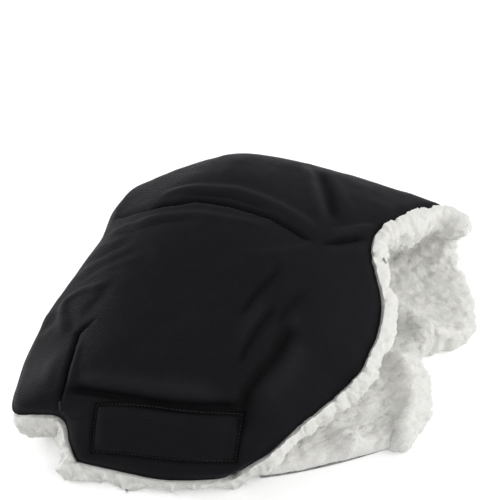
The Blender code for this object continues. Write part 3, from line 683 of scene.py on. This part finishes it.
wool = {
    "reach": 0.0135,  # how far the roll stands off the twill's edge
    "unevenReach": 0.38,
    "unevenSize": 0.017,
    "edgeGap": 0.0007,
    "rollPoints": 24,
    "plumpReach": 0.024,  # how far in from the right rim the pile is thicker
    "plumpFrom": (0.080, 0.120),  # along the wrap, behind the tab
    "clump": 0.0105,  # size of a tuft
    "clumpRise": 0.0046,
    "curl": 0.0050,
    "curlRise": 0.0027,
    "fine": 0.0024,
    "fineRise": 0.0010,
    "level": (0.55, 0.5),  # the share of a tuft and of a curl that lies under the plain face
    "tuftTone": (0.22, 0.55, 0.28),  # the tone for painted shade and highlight: what every place has, and what tufts and curls add
    # loose fibres take the pale end of that tone, a painted highlight
    "fibreTone": 0.95,
    "fibres": 6500,
    "fibreLength": 0.0060,
    "fibreLengths": (0.5, 1.4),  # shortest and longest, as shares of that
    "fibreLean": 0.75,
    "fibreCurl": 0.35,
    "fibreRadius": 0.00021,
    "fibreTaper": (1.0, 0.8, 0.15),
}

# Where the roll swells more: the rim, 1 right or -1 left, the place along it, the swelling's length and what it adds.
swellings = [
    (1, 0.374, 0.020, 0.0040),
    (1, 0.408, 0.014, -0.0070),
    (1, 0.446, 0.028, 0.0110),
    (1, 0.320, 0.030, 0.0020),
    (1, 0.220, 0.080, 0.0050),
    (1, 0.150, 0.060, 0.0040),
    (1, 0.590, 0.030, 0.0030),
    (-1, 0.088, 0.018, 0.0140),
    (-1, 0.040, 0.030, 0.0030),
]

# Where the pile is thicker along the right rim: the place, the swelling's length and what it adds.
plumps = [
    (0.200, 0.080, 0.006),
    (0.352, 0.042, 0.024),
    (0.430, 0.040, 0.012),
    (0.640, 0.120, 0.006),
]

# Rises of the pile on the lower sheet: height and half width in mm, then x and y in mm.
hills = [
    (17.0, 16.0, [(128, 66), (166, 36), (196, 12)]),
    (13.0, 12.0, [(150, -10), (160, -30), (163, -60), (160, -104), (136, -122), (108, -112)]),
]


def hillHeight(point):  # the highest of the bells across each rise's line, without their ends faded
    total = np.zeros(point.shape[:-1])
    for height, width, knots in hills:
        line = np.array(knots, float) / 1000
        best = np.full(total.shape, 9.0)
        for a, b in zip(line, line[1:]):
            best = np.minimum(best, awayFrom(point[..., 0], point[..., 1], a, b)[0])
        total = np.maximum(total, height / 1000 * bell(best, width / 1000))
    return total


def swellOf(side, s):  # the sum of bells along the rims
    return sum(extra * (side == rim) * bell(s - at, length) for rim, at, length, extra in swellings)


def plumpOf(u, s):  # the sum of bells along the right rim, which fade inwards across the sheet
    along = sum(extra * bell(s - at, length) for at, length, extra in plumps)
    halfChord = np.linalg.norm(bareSheet(np.ones_like(s), s) - bareSheet(np.zeros_like(s), s), axis=-1)
    away = (1 - np.maximum(u, 0)) * halfChord
    return along * bell(away, wool["plumpReach"]) * (u > 0) * ramp(s, *wool["plumpFrom"])


def unevenness(rimLine):  # the roll's reach at each place, as a share of its plain reach
    return 1 + wool["unevenReach"] * wander(rimLine, wool["unevenSize"], 61)


def rollProfile(count):  # half an oval: off the edge as |cos|^0.75, down through the thickness as |sin|^0.85
    angle = np.linspace(-math.pi / 2, math.pi / 2, count)
    off = np.abs(np.cos(angle)) ** 0.75
    deep = 0.5 + 0.5 * np.sign(np.sin(angle)) * np.abs(np.sin(angle)) ** 0.85
    return off, deep


def gridNormals(points):  # outward normals of closed sections: side step crossed with forward step
    side = np.roll(points, -1, axis=1) - np.roll(points, 1, axis=1)
    forward = np.gradient(points, axis=0)
    return unit(np.cross(side, forward))


def fleeceRise(points, normals, shown):  # tufts, curls and fine fuzz added along the normals, and the tuft height kept as the tone for painted shade and highlight
    big = clumps(points, wool["clump"], 11)
    small = clumps(points + 0.011, wool["curl"], 29)
    fuzz = wander(points, wool["fine"], 41)
    tuftLevel, curlLevel = wool["level"]
    rise = (big - tuftLevel) * wool["clumpRise"] + (small - curlLevel) * wool["curlRise"] + fuzz * wool["fineRise"]
    plain, ofTufts, ofCurls = wool["tuftTone"]
    tuft = np.clip(plain + ofTufts * big + ofCurls * small, 0, 1)
    return points + normals * (rise * shown)[..., None], tuft


def fibreMesh(points, normals, weights, count, seed):  # bent threads of three sides: base + lean * t + curl * t^2
    random = np.random.default_rng(seed)
    chosen = random.choice(len(points), count, p=weights / weights.sum())
    base, normal = points[chosen], normals[chosen]
    lean = unit(normal + random.normal(0, wool["fibreLean"], (count, 3)))
    length = wool["fibreLength"] * random.uniform(*wool["fibreLengths"], (count, 1))
    curl = np.cross(lean, random.normal(0, 1, (count, 3)))
    t = np.array((-0.15, 0.5, 1.0))[None, :, None]
    path = (base[:, None] + lean[:, None] * (t * length[:, None])
            + curl[:, None] * (wool["fibreCurl"] * length[:, None] * t**2))
    sideA = unit(np.cross(lean, normal + 0.3))
    width = wool["fibreRadius"] * np.array(wool["fibreTaper"])
    return tubePoints(path, sideA, np.cross(lean, sideA), 3, width), tubeFaces(len(points), count, 3, 3)


def stretchOf(points, start, end):  # 1 between the two ends of a bend, 0 a little outside them
    start, end = np.array(start), np.array(end)
    share = (points - start) @ (end - start) / ((end - start) @ (end - start))
    return ramp(share, -0.15, 0.05) * (1 - ramp(share, 0.95, 1.15))


def woolPiece(name, sections, shown, haired, hairs, seed, bend=None):  # closed sections + tufts + loose fibres
    normals = gridNormals(sections)
    raised, tuft = fleeceRise(sections, normals, shown)
    if bend:
        haired = haired * (1 - stretchOf(sections, *bend))  # no loose fibres where a bend would stretch them
    flat, weights = raised.reshape(-1, 3), (haired * tuft).ravel() ** 2 + 1e-9
    threads, threadFaces = fibreMesh(flat, normals.reshape(-1, 3), weights, hairs, seed)
    tuft = np.concatenate((tuft.ravel(), np.full(len(threads), wool["fibreTone"])))
    faces = [*loftFaces(*sections.shape[:2]), *threadFaces]
    return piece(name, np.concatenate((flat, threads)), faces, "wool", tuft=tuft)


def endTaper(s, first, last, radius):  # 1 along the slab, falling as a quarter circle to 0 at a rounded end
    before = np.clip((s - first) / radius, 0, 1) if first is not None else np.ones_like(s)
    after = np.clip((last - s) / radius, 0, 1) if last is not None else np.ones_like(s)
    return np.sqrt(1 - (1 - before) ** 2) * np.sqrt(1 - (1 - after) ** 2)


slab = {
    "hiddenPoints": 30,  # across the face that lies against the wadding
    "tuck": 1.55,  # how far the left roll turns in under the hood, in radians
    "tuckFrom": (0.098, 0.118),  # along the wrap, where it starts to turn and where it has turned
    "tuckTo": (0.470, 0.520),
    "tuckDepth": 0.0070,
    "tuckShrink": 0.6,
    "dropFrom": 0.0002,  # past the toe the wool reaches down to the floor
    "dropTo": 0.0022,
    "dropGap": 0.0006,
    "lowered": 0.0090,
    "clear": (0.05, 0.40),  # of the thickness beside the cloth's edge, where no loose fibres grow
    "lowHalf": (0.010, 0.016),  # depths between which the hills start to lift the pile
    "frontEnd": (0.002, 0.010),  # how far the hood's wool goes past the tab, and how round it ends
    "toeEnd": (0.0004, 0.012),
    "hoodRows": 230,
    "hoodStep": 0.0026,
    "rearRows": 250,
    "rearStep": 0.0032,
}


def slabSections(s, lengthen, rounded, innerStep):
    # the slab of wool with a roll at both rims, sheet + inward * depth + aside * reach + along * what is past the toe:
    # hidden face left to right, right roll, inner face, left roll
    ends, rollPoints = slab["hiddenPoints"], wool["rollPoints"]
    inner = np.linspace(1, -1, int(chord(s[len(s) // 2]) * 1.1 / innerStep))  # the arc is a tenth longer
    off, deep = rollProfile(rollPoints)
    u = np.concatenate((np.linspace(-1, 1, ends), np.ones(rollPoints), inner, -np.ones(rollPoints)))
    out = np.concatenate((np.zeros(ends), off, np.zeros(len(inner)), off[::-1]))
    deepShare = np.concatenate((np.zeros(ends), deep, np.ones(len(inner)), deep[::-1]))
    shown = (np.arange(len(u)) >= ends).astype(float)
    u, s = np.meshgrid(u, s)
    s = s + lengthen(u, s)
    onSheet = np.clip(s, 0, toe)
    beyond = s - onSheet
    taper = rounded(u, s)

    hiding = (u < 0) * ramp(s, *slab["tuckFrom"]) * (1 - ramp(s, *slab["tuckTo"]))  # where the hood's rim covers it
    start = slab["tuckDepth"] * hiding
    top, bottom = layers["fleece"]
    depth = start + (bottom + plumpOf(u, onSheet) - start) * deepShare
    dropped = ramp(beyond, slab["dropFrom"], slab["dropTo"])
    depth = np.where(shown > 0, depth, top - dropped * (top - slab["dropGap"]))
    middle = (top + bottom) / 2 - slab["lowered"] * ramp(beyond, 0.0, slab["dropTo"])
    depth = middle + (depth - middle) * taper

    inward, along = inwardOf(u, onSheet), alongOf(u, onSheet)
    aside = unit(np.cross(inward, along)) * np.sign(u)[..., None]
    tuck = (slab["tuck"] * hiding)[..., None]
    aside = aside * np.cos(tuck) + inward * np.sin(tuck)
    reach = wool["reach"] * unevenness(bareSheet(np.sign(u), onSheet)) + swellOf(np.sign(u), onSheet)
    reach = out[None] * reach * taper * (1 - slab["tuckShrink"] * hiding) + wool["edgeGap"] * (out[None] > 0)
    relief = strokeHeight(bareSheet(u, onSheet)[..., 0], onSheet)
    points = (bareSheet(u, onSheet) + inward * (depth - relief)[..., None] + aside * reach[..., None]
              + along * beyond[..., None])
    underneath = ramp(onSheet, place["underRear"], place["underBack"]) * ramp(depth, *slab["lowHalf"])
    points[..., 2] += hillHeight(points) * underneath
    haired = ramp(deepShare, *slab["clear"]) * shown
    full = np.clip(taper * 2, 0, 1)
    return points, np.broadcast_to(shown, u.shape) * full, haired * full


def stay(u, s):  # no lengthening
    return np.zeros_like(s)


def roundFront(u, s):  # rounded at its front end, behind the tab's top
    past, radius = slab["frontEnd"]
    return endTaper(s, place["tabTop"] - past, None, radius)


hoodRows = np.linspace(place["tabTop"], parting["shoulder"], slab["hoodRows"])
hoodParts = slabSections(hoodRows, stay, roundFront, slab["hoodStep"])
hoodWool = woolPiece("hoodLambswool", *hoodParts, wool["fibres"], 7, waistBend)
bendWaist(hoodWool)
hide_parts("upper_lining", "upper_left_edging", "upper_right_edging")

tape = {
    "width": 0.132,
    "start": 0.0155,  # its two ends, along the wrap
    "end": 0.0655,
    "middle": -0.029 + muff["corner"][0],
    "step": 0.003,
}

toeFront = {
    "tongueHalf": 0.072,  # half the width of the tongue, which stands in a gap of the wool
    "gapSides": (0.001, 0.011),
    "behindTongue": 0.013,  # how far the wool stops short behind it
    "easeIn": 0.090,
}


def toeReach(u, s):  # the wool runs past the toe on both sides of the tongue, and stops short behind it
    x = bareSheet(u, np.full_like(s, toe))[..., 0]
    near, far = (toeFront["tongueHalf"] + gap for gap in toeFront["gapSides"])
    target = (toeFront["behindTongue"] + wool["reach"]) * ramp(np.abs(x - tape["middle"]), near, far)
    return (-toeFront["behindTongue"] + target) * ramp(s, toe - toeFront["easeIn"], toe)


def roundToe(u, s):  # rounded at its end under the front, wherever that is
    past, radius = slab["toeEnd"]
    return endTaper(s, None, toe + toeReach(u, np.full_like(s, toe)) + past, radius)


rearRows = np.linspace(parting["shoulder"], toe, slab["rearRows"])
rearParts = slabSections(rearRows, toeReach, roundToe, slab["rearStep"])
rearWool = woolPiece("rearLambswool", *rearParts, wool["fibres"], 8)
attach(rearWool, "back")
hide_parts("back_lining", "back_left_edging", "back_right_edging")
print("lambswool done")


hem = {
    "reach": 0.0155,
    "thickness": 0.0125,
    "pastTop": 0.004,  # how far up the rims the roll goes past the tab's top
    "grows": 0.004,  # from where it gets thicker
    "rimRows": 56,
    "hemPoints": 130,
    "cornerRows": 12,
    "rollPoints": 26,
    "backFace": (0.75, 0.35),  # of the thickness, where the roll's hidden side is closed
    "fibres": 1500,
}


def rimPath():  # edge places, inward and outward directions: up the left rim, along the hem, up the right rim
    sides = []
    rows = np.linspace(0.0, place["tabTop"] + hem["pastTop"], hem["rimRows"])
    zeros, turns = np.zeros(hem["hemPoints"]), hem["cornerRows"]
    ones = np.ones(len(rows))
    for u, s in ((-ones, rows[::-1]), (np.linspace(-1, 1, len(zeros)), zeros), (ones, rows)):
        inward, along = inwardOf(u, s), alongOf(u, s)
        outward = -along if s is zeros else unit(np.cross(inward, along)) * u[:, None]
        sides.append((bareSheet(u, s), inward, outward, s))
    fan = np.linspace(0, 1, turns + 2)[1:-1, None]
    parts = sides[:1]
    for before, after in zip(sides, sides[1:]):
        corner, inward = (np.repeat(part[-1:], turns, axis=0) for part in before[:2])
        parts += [(corner, inward, unit(before[2][-1] * (1 - fan) + after[2][0] * fan), np.zeros(turns)), after]
    return [np.concatenate([part[i] for part in parts]) for i in range(4)]


def hemSections():  # edge + outward * roll + inward * thickness: a roll round the tab's free edge, thinner at the hem
    edge, inward, outward, s = rimPath()
    off, deep = rollProfile(hem["rollPoints"])
    back = hem["backFace"]
    grow = ramp(s, hem["grows"], place["tabTop"])
    thick = hem["thickness"] + (layers["fleece"][1] - hem["thickness"]) * grow
    reach = (hem["reach"] + (wool["reach"] - hem["reach"]) * grow) * unevenness(edge)
    reach = reach + swellOf(np.where(edge[:, 0] > 0, 1, -1), s) * (s > 0)
    off, deep = np.concatenate((off, np.zeros(len(back)))), np.concatenate((deep, back))
    points = (edge[:, None] + outward[:, None] * (off * reach[:, None] + wool["edgeGap"])[..., None]
              + inward[:, None] * (deep * thick[:, None])[..., None])
    shown = np.concatenate((np.ones(hem["rollPoints"]), np.zeros(len(back))))
    haired = ramp(deep, *slab["clear"]) * shown
    shown, haired = (np.broadcast_to(part, points.shape[:2]) for part in (shown, haired))
    return points[:, ::-1], shown[:, ::-1], haired[:, ::-1]


hemWool = woolPiece("hemLambswool", *hemSections(), hem["fibres"], 9, foldBend)
bendFold(hemWool)
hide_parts("hem_edging")
print("hem done")


def tapePiece(name, top, bottom):  # a flat strip between two depths
    acrossTape = np.linspace(-tape["width"] / 2, tape["width"] / 2, int(tape["width"] / tape["step"])) + tape["middle"]
    alongTape = np.linspace(tape["start"], tape["end"], int((tape["end"] - tape["start"]) / tape["step"]))
    x, s = np.meshgrid(acrossTape, alongTape)
    u = across(x, s)
    point, inward = bareSheet(u, s), inwardOf(u, s)
    return padBetween(name, point + inward * top, point + inward * bottom, "tape")


facingSize = {
    "across": (-0.985, 0.985, 90),  # from, to, and how many columns
    "along": (0.002, place["tabTop"] + 0.004, 26),
}
facingU, facingS = np.meshgrid(np.linspace(*facingSize["across"]), np.linspace(*facingSize["along"]))
facingBase, facingIn = bareSheet(facingU, facingS), inwardOf(facingU, facingS)
facing = padBetween("tabFacing", facingBase + facingIn * layers["facing"][0],
                    facingBase + facingIn * layers["facing"][1], "twill", cloth=clothMap(facingBase, facingS))
hookTape = tapePiece("hookTape", *layers["hook"])
loopTape = tapePiece("loopTape", *layers["loop"])
bendFold(facing)
bendFold(hookTape)
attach(loopTape, "back")
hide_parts("tab_facing")
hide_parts("hook_tape")
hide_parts("loop_tape")


tongueShape = {
    "turn": 0.034,  # how much of it goes round the toe
    "start": 0.0093,  # along the wrap, where it comes up behind the tab
    "end": 0.0655,
    "points": 60,
    "rows": 50,
    "nearStep": 0.0009,  # from which slopes and normals are worked out
}


def tongueFace(x, v):  # from the toe, round the turn and up behind the tab: a cubic between both slopes, then the wrap
    x, v = np.broadcast_arrays(np.asarray(x, float), np.asarray(v, float))
    ds, turnEnd, start = tongueShape["nearStep"], tongueShape["turn"], tongueShape["start"]
    toeS = np.full_like(v, toe)

    def sheetAt(s):  # the wrap, and the tongue's depth under it
        u = across(x, s)
        return bareSheet(u, s) + inwardOf(u, s) * layers["tongue"]

    toeU = across(x, toeS)
    toeEdge = bareSheet(toeU, toeS)
    toeSlope = (toeEdge - bareSheet(toeU, toeS - ds)) / ds
    foot = sheetAt(np.full_like(v, start))
    footSlope = (sheetAt(np.full_like(v, start + ds)) - foot) / ds
    turn = cubicBetween(toeEdge, foot, toeSlope, footSlope, turnEnd, np.clip(v / turnEnd, 0, 1)[..., None])
    turn[..., 2] = np.maximum(turn[..., 2], 0)
    return np.where((v > turnEnd)[..., None], sheetAt(np.maximum(start + v - turnEnd, start)), turn)


def tongueAt(x, v, depth):  # its face + the unit normal * depth
    step = tongueShape["nearStep"]
    side = tongueFace(x + step, v) - tongueFace(x - step, v)
    along = tongueFace(x, v + step) - tongueFace(x, np.maximum(v - step, 0))
    return tongueFace(x, v) + unit(np.cross(along, side)) * depth


tongueX = np.linspace(-toeFront["tongueHalf"], toeFront["tongueHalf"], tongueShape["points"]) + tape["middle"]
tongueLength = tongueShape["turn"] + tongueShape["end"] - tongueShape["start"]
tongueX, tongueV = np.meshgrid(tongueX, np.linspace(0.0, tongueLength, tongueShape["rows"]))
tongueOuter = tongueAt(tongueX, tongueV, 0.0)
tongue = padBetween("tongueTwill", tongueOuter, tongueAt(tongueX, tongueV, layers["tongueThickness"]), "twill",
                    cloth=clothMap(tongueOuter, tongueV))
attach(tongue, "back")
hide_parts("tongue")


stitch = {
    "arch": (1.6, 0.45),  # its height and how much of that is sunk, in thread radii
    "taper": (0.45, 0.95, 1.0, 0.95, 0.45),
    "sides": 5,
    "covers": (0.12, 0.88),  # of the pitch
    "loopInset": 0.0025,  # of the second rectangle in the loop tape's edge
}


def threadPiece(name, starts, ends, outs, radius):  # short stitches: tubes along a straight line + an arch outwards
    height, sunk = stitch["arch"]
    share = np.linspace(0, 1, len(stitch["taper"]))[None, :, None]
    path = starts[:, None] + (ends - starts)[:, None] * share + outs[:, None] * (
        (np.sin(np.pi * share) - sunk) * radius * height)
    width = radius * np.array(stitch["taper"])
    points = tubePoints(path, outs, unit(np.cross(ends - starts, outs)), stitch["sides"], width)
    return piece(name, points, tubeFaces(0, len(starts), len(width), stitch["sides"]), "thread")


def stitchLine(corners, pitch, lift, place3d):  # start, end and outward direction of each stitch round a ring
    starts, ends = [], []
    for a, b in zip(corners, corners[1:] + corners[:1]):
        a, b = np.array(a), np.array(b)
        count = max(int(round(np.linalg.norm(b - a) / pitch)), 1)
        marks = (np.arange(count)[:, None] + np.array(stitch["covers"])) / count
        starts.append(a + (b - a) * marks[:, :1])
        ends.append(a + (b - a) * marks[:, 1:])
    starts, ends = np.concatenate(starts), np.concatenate(ends)
    return place3d(starts, lift), place3d(ends, lift), unit(place3d(starts, 0.001) - place3d(starts, 0.0))


def onTwill(flat, lift):  # the twill's face at x and s, raised outwards
    return twillAt(across(flat[:, 0], flat[:, 1]), flat[:, 1], -lift)


def behindTongue(flat, lift):  # the tongue's back at x and s, raised inwards
    v = flat[:, 1] - tongueShape["start"] + tongueShape["turn"]
    return tongueAt(flat[:, 0], v, layers["tongueThickness"] + lift)


def stitchRing(name, corners, place3d):  # stitches round a ring of corners in x and s
    line = stitchLine(corners, tapeSeam["pitch"], tapeSeam["lift"], place3d)
    return threadPiece(name, *line, tapeSeam["thread"])


loopLeft, loopRight = (tape["middle"] + way * (tape["width"] / 2 - stitch["loopInset"]) for way in (-1, 1))
loopLow, loopHigh = tape["start"] + stitch["loopInset"], tape["end"] - stitch["loopInset"]
loopRing = [(loopLeft, loopLow), (loopRight, loopLow), (loopRight, loopHigh), (loopLeft, loopHigh)]
hookStitches = stitchRing("hookStitches", tapeSeam["corners"], onTwill)
loopStitches = stitchRing("loopStitches", loopRing, behindTongue)
bendFold(hookStitches)
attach(loopStitches, "back")
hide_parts("hook_stitching")
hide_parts("loop_stitching")


tackShape = {
    "threads": 8,
    "halfLength": 0.0034,  # along the fold
    "halfWidth": 0.0013,
    "radius": 0.0004,
    "lift": 0.0003,
    "leftMark": (-0.1552, 0.0795),
    "rightTurn": 1.0,  # radians from straight across
    "rightBelow": 0.004,
}


def tackPiece(name, x, s, turned, cadNode):  # threads side by side, short across the fold they lock
    rows = np.linspace(-1, 1, tackShape["threads"])[:, None]
    line, over = np.array((math.cos(turned), math.sin(turned))), np.array((-math.sin(turned), math.cos(turned)))
    middle = np.array((x, s)) + rows * over * tackShape["halfLength"]
    starts, ends = middle - line * tackShape["halfWidth"], middle + line * tackShape["halfWidth"]
    outs = unit(onTwill(middle, 0.001) - onTwill(middle, 0.0))
    starts, ends = onTwill(starts, tackShape["lift"]), onTwill(ends, tackShape["lift"])
    tack = threadPiece(name, starts, ends, outs, tackShape["radius"])
    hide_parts(cadNode)
    return tack


leftTack = tackPiece("leftBarTack", *tackShape["leftMark"], 0.0, "left_bar_tack")
lowTack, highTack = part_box("right_bar_tack")
rightX, rightS = (lowTack[0] + highTack[0]) / 2, place["crease"] - tackShape["rightBelow"]
rightTack = tackPiece("rightBarTack", rightX, rightS, tackShape["rightTurn"], "right_bar_tack")
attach(leftTack, "upper")
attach(rightTack, "upper")
print("tapes and stitches done")

studio = {
    "floorColour": (0.90, 0.90, 0.90),
    "floorReach": 6.0,
    "floorDrop": 0.0006,  # under the muff
    "glowFrom": 0.6,  # how far from the middle the floor's own light starts to rise, and how far out it is full
    "glowTo": 2.6,
    "glow": (0.30, 0.75),
    "skyColour": (1.0, 1.0, 1.0),
    "sky": 0.50,
    "aim": (0, 0, 0.05),
    "lamps": [  # name, place, width and power
        ("key light", (-1.5, 0.12, 0.40), 1.0, 18.0),
        ("fill light", (1.4, -0.15, 1.0), 1.2, 14.0),
        ("back light", (0.2, 1.4, 1.1), 1.0, 3.0),
    ],
}


def layFloor(look):  # a flat square that glows for the camera alone, more so far away
    reach, drop = look["floorReach"], look["floorDrop"]
    mesh = bpy.data.meshes.new("floor")
    mesh.from_pydata([(-reach, -reach, -drop), (reach, -reach, -drop), (reach, reach, -drop), (-reach, reach, -drop)],
                     [], [(0, 1, 2, 3)])
    material, tree, shader = shaderOf(
        "pale floor", Roughness=0.9, Base_Color=(*look["floorColour"], 1), Specular_IOR_Level=0.0)
    spot = node(tree, "ShaderNodeTexCoord")
    away = node(tree, "ShaderNodeVectorMath", operation="LENGTH")
    level = node(tree, "ShaderNodeMapRange", From_Min=look["glowFrom"], From_Max=look["glowTo"],
                 To_Min=look["glow"][0], To_Max=look["glow"][1])
    glow = node(tree, "ShaderNodeEmission")
    path = node(tree, "ShaderNodeLightPath")
    glowing = node(tree, "ShaderNodeAddShader")
    seen = node(tree, "ShaderNodeMixShader")
    for output, socket in (
            (spot.outputs["Object"], away.inputs[0]), (away.outputs["Value"], level.inputs["Value"]),
            (level.outputs[0], glow.inputs["Strength"]), (shader.outputs[0], glowing.inputs[0]),
            (glow.outputs[0], glowing.inputs[1]), (path.outputs["Is Camera Ray"], seen.inputs[0]),
            (shader.outputs[0], seen.inputs[1]), (glowing.outputs[0], seen.inputs[2]),
            (seen.outputs[0], tree.nodes["Material Output"].inputs["Surface"])):
        tree.links.new(output, socket)
    mesh.materials.append(material)
    floor = bpy.data.objects.new("floor", mesh)
    bpy.context.scene.collection.objects.link(floor)
    return floor


def lightSky(look):  # dim for the muff, and white wherever a ray from the camera, a gloss or a clear surface meets it
    world = bpy.data.worlds.new("soft studio")
    bpy.context.scene.world = world
    world.use_nodes = True
    tree = world.node_tree
    sky = tree.nodes["Background"]
    sky.inputs["Color"].default_value = (*look["skyColour"], 1)
    path = node(tree, "ShaderNodeLightPath")
    seen = path.outputs["Is Camera Ray"]
    for ray in ("Is Glossy Ray", "Is Transmission Ray"):
        larger = node(tree, "ShaderNodeMath", operation="MAXIMUM")
        tree.links.new(seen, larger.inputs[0])
        tree.links.new(path.outputs[ray], larger.inputs[1])
        seen = larger.outputs[0]
    level = node(tree, "ShaderNodeMapRange", To_Min=look["sky"], To_Max=1.0)
    tree.links.new(seen, level.inputs["Value"])
    tree.links.new(level.outputs[0], sky.inputs["Strength"])


def frameOf(right, up, back, spot):  # the matrix of three axes and a place
    return Matrix([(*row, p) for row, p in zip(np.stack((right, up, back), axis=1).tolist(), spot)] + [(0, 0, 0, 1)])


def softBox(name, spot, aim, size, power):  # a lamp at a place, its back turned away from what it aims at
    lamp = bpy.data.lights.new(name, "AREA")
    lamp.shape, lamp.size, lamp.size_y, lamp.energy = "RECTANGLE", size, size * 0.7, power
    thing = bpy.data.objects.new(name, lamp)
    back = unit(np.array(spot) - np.array(aim))
    right = unit(np.cross((0.0, 0.0, 1.0), back))
    thing.matrix_world = frameOf(right, np.cross(back, right), back, spot)
    bpy.context.scene.collection.objects.link(thing)


floor = layFloor(studio)
lightSky(studio)
for name, spot, size, power in studio["lamps"]:
    softBox(name, spot, studio["aim"], size, power)

lens = {
    "azimuth": math.radians(12),
    "elevation": math.radians(49),
    "distance": 0.837,
    "focal": 60.0,
    "target": (0.0026, -0.0111, 0.054),
    "shift": (-0.016, 0.144),  # the photograph's frame sits off the muff's middle
}


def placeCamera(look):  # target + distance * (sin a cos e, -cos a cos e, sin e), looking back at the target
    a, e = look["azimuth"], look["elevation"]
    back = np.array((math.sin(a) * math.cos(e), -math.cos(a) * math.cos(e), math.sin(e)))
    right = unit(np.cross(-back, (0.0, 0.0, 1.0)))
    up = np.cross(right, -back)
    spot = np.array(look["target"]) + back * look["distance"]
    data = bpy.data.cameras.new("camera")
    data.lens, data.shift_x, data.shift_y, data.clip_start = look["focal"], *look["shift"], 0.01
    thing = bpy.data.objects.new("camera", data)
    thing.matrix_world = frameOf(right, up, back, spot)
    bpy.context.scene.collection.objects.link(thing)
    bpy.context.scene.camera = thing


placeCamera(lens)
bpy.context.scene.view_settings.view_transform = "Standard"
print("floor, light and camera done")
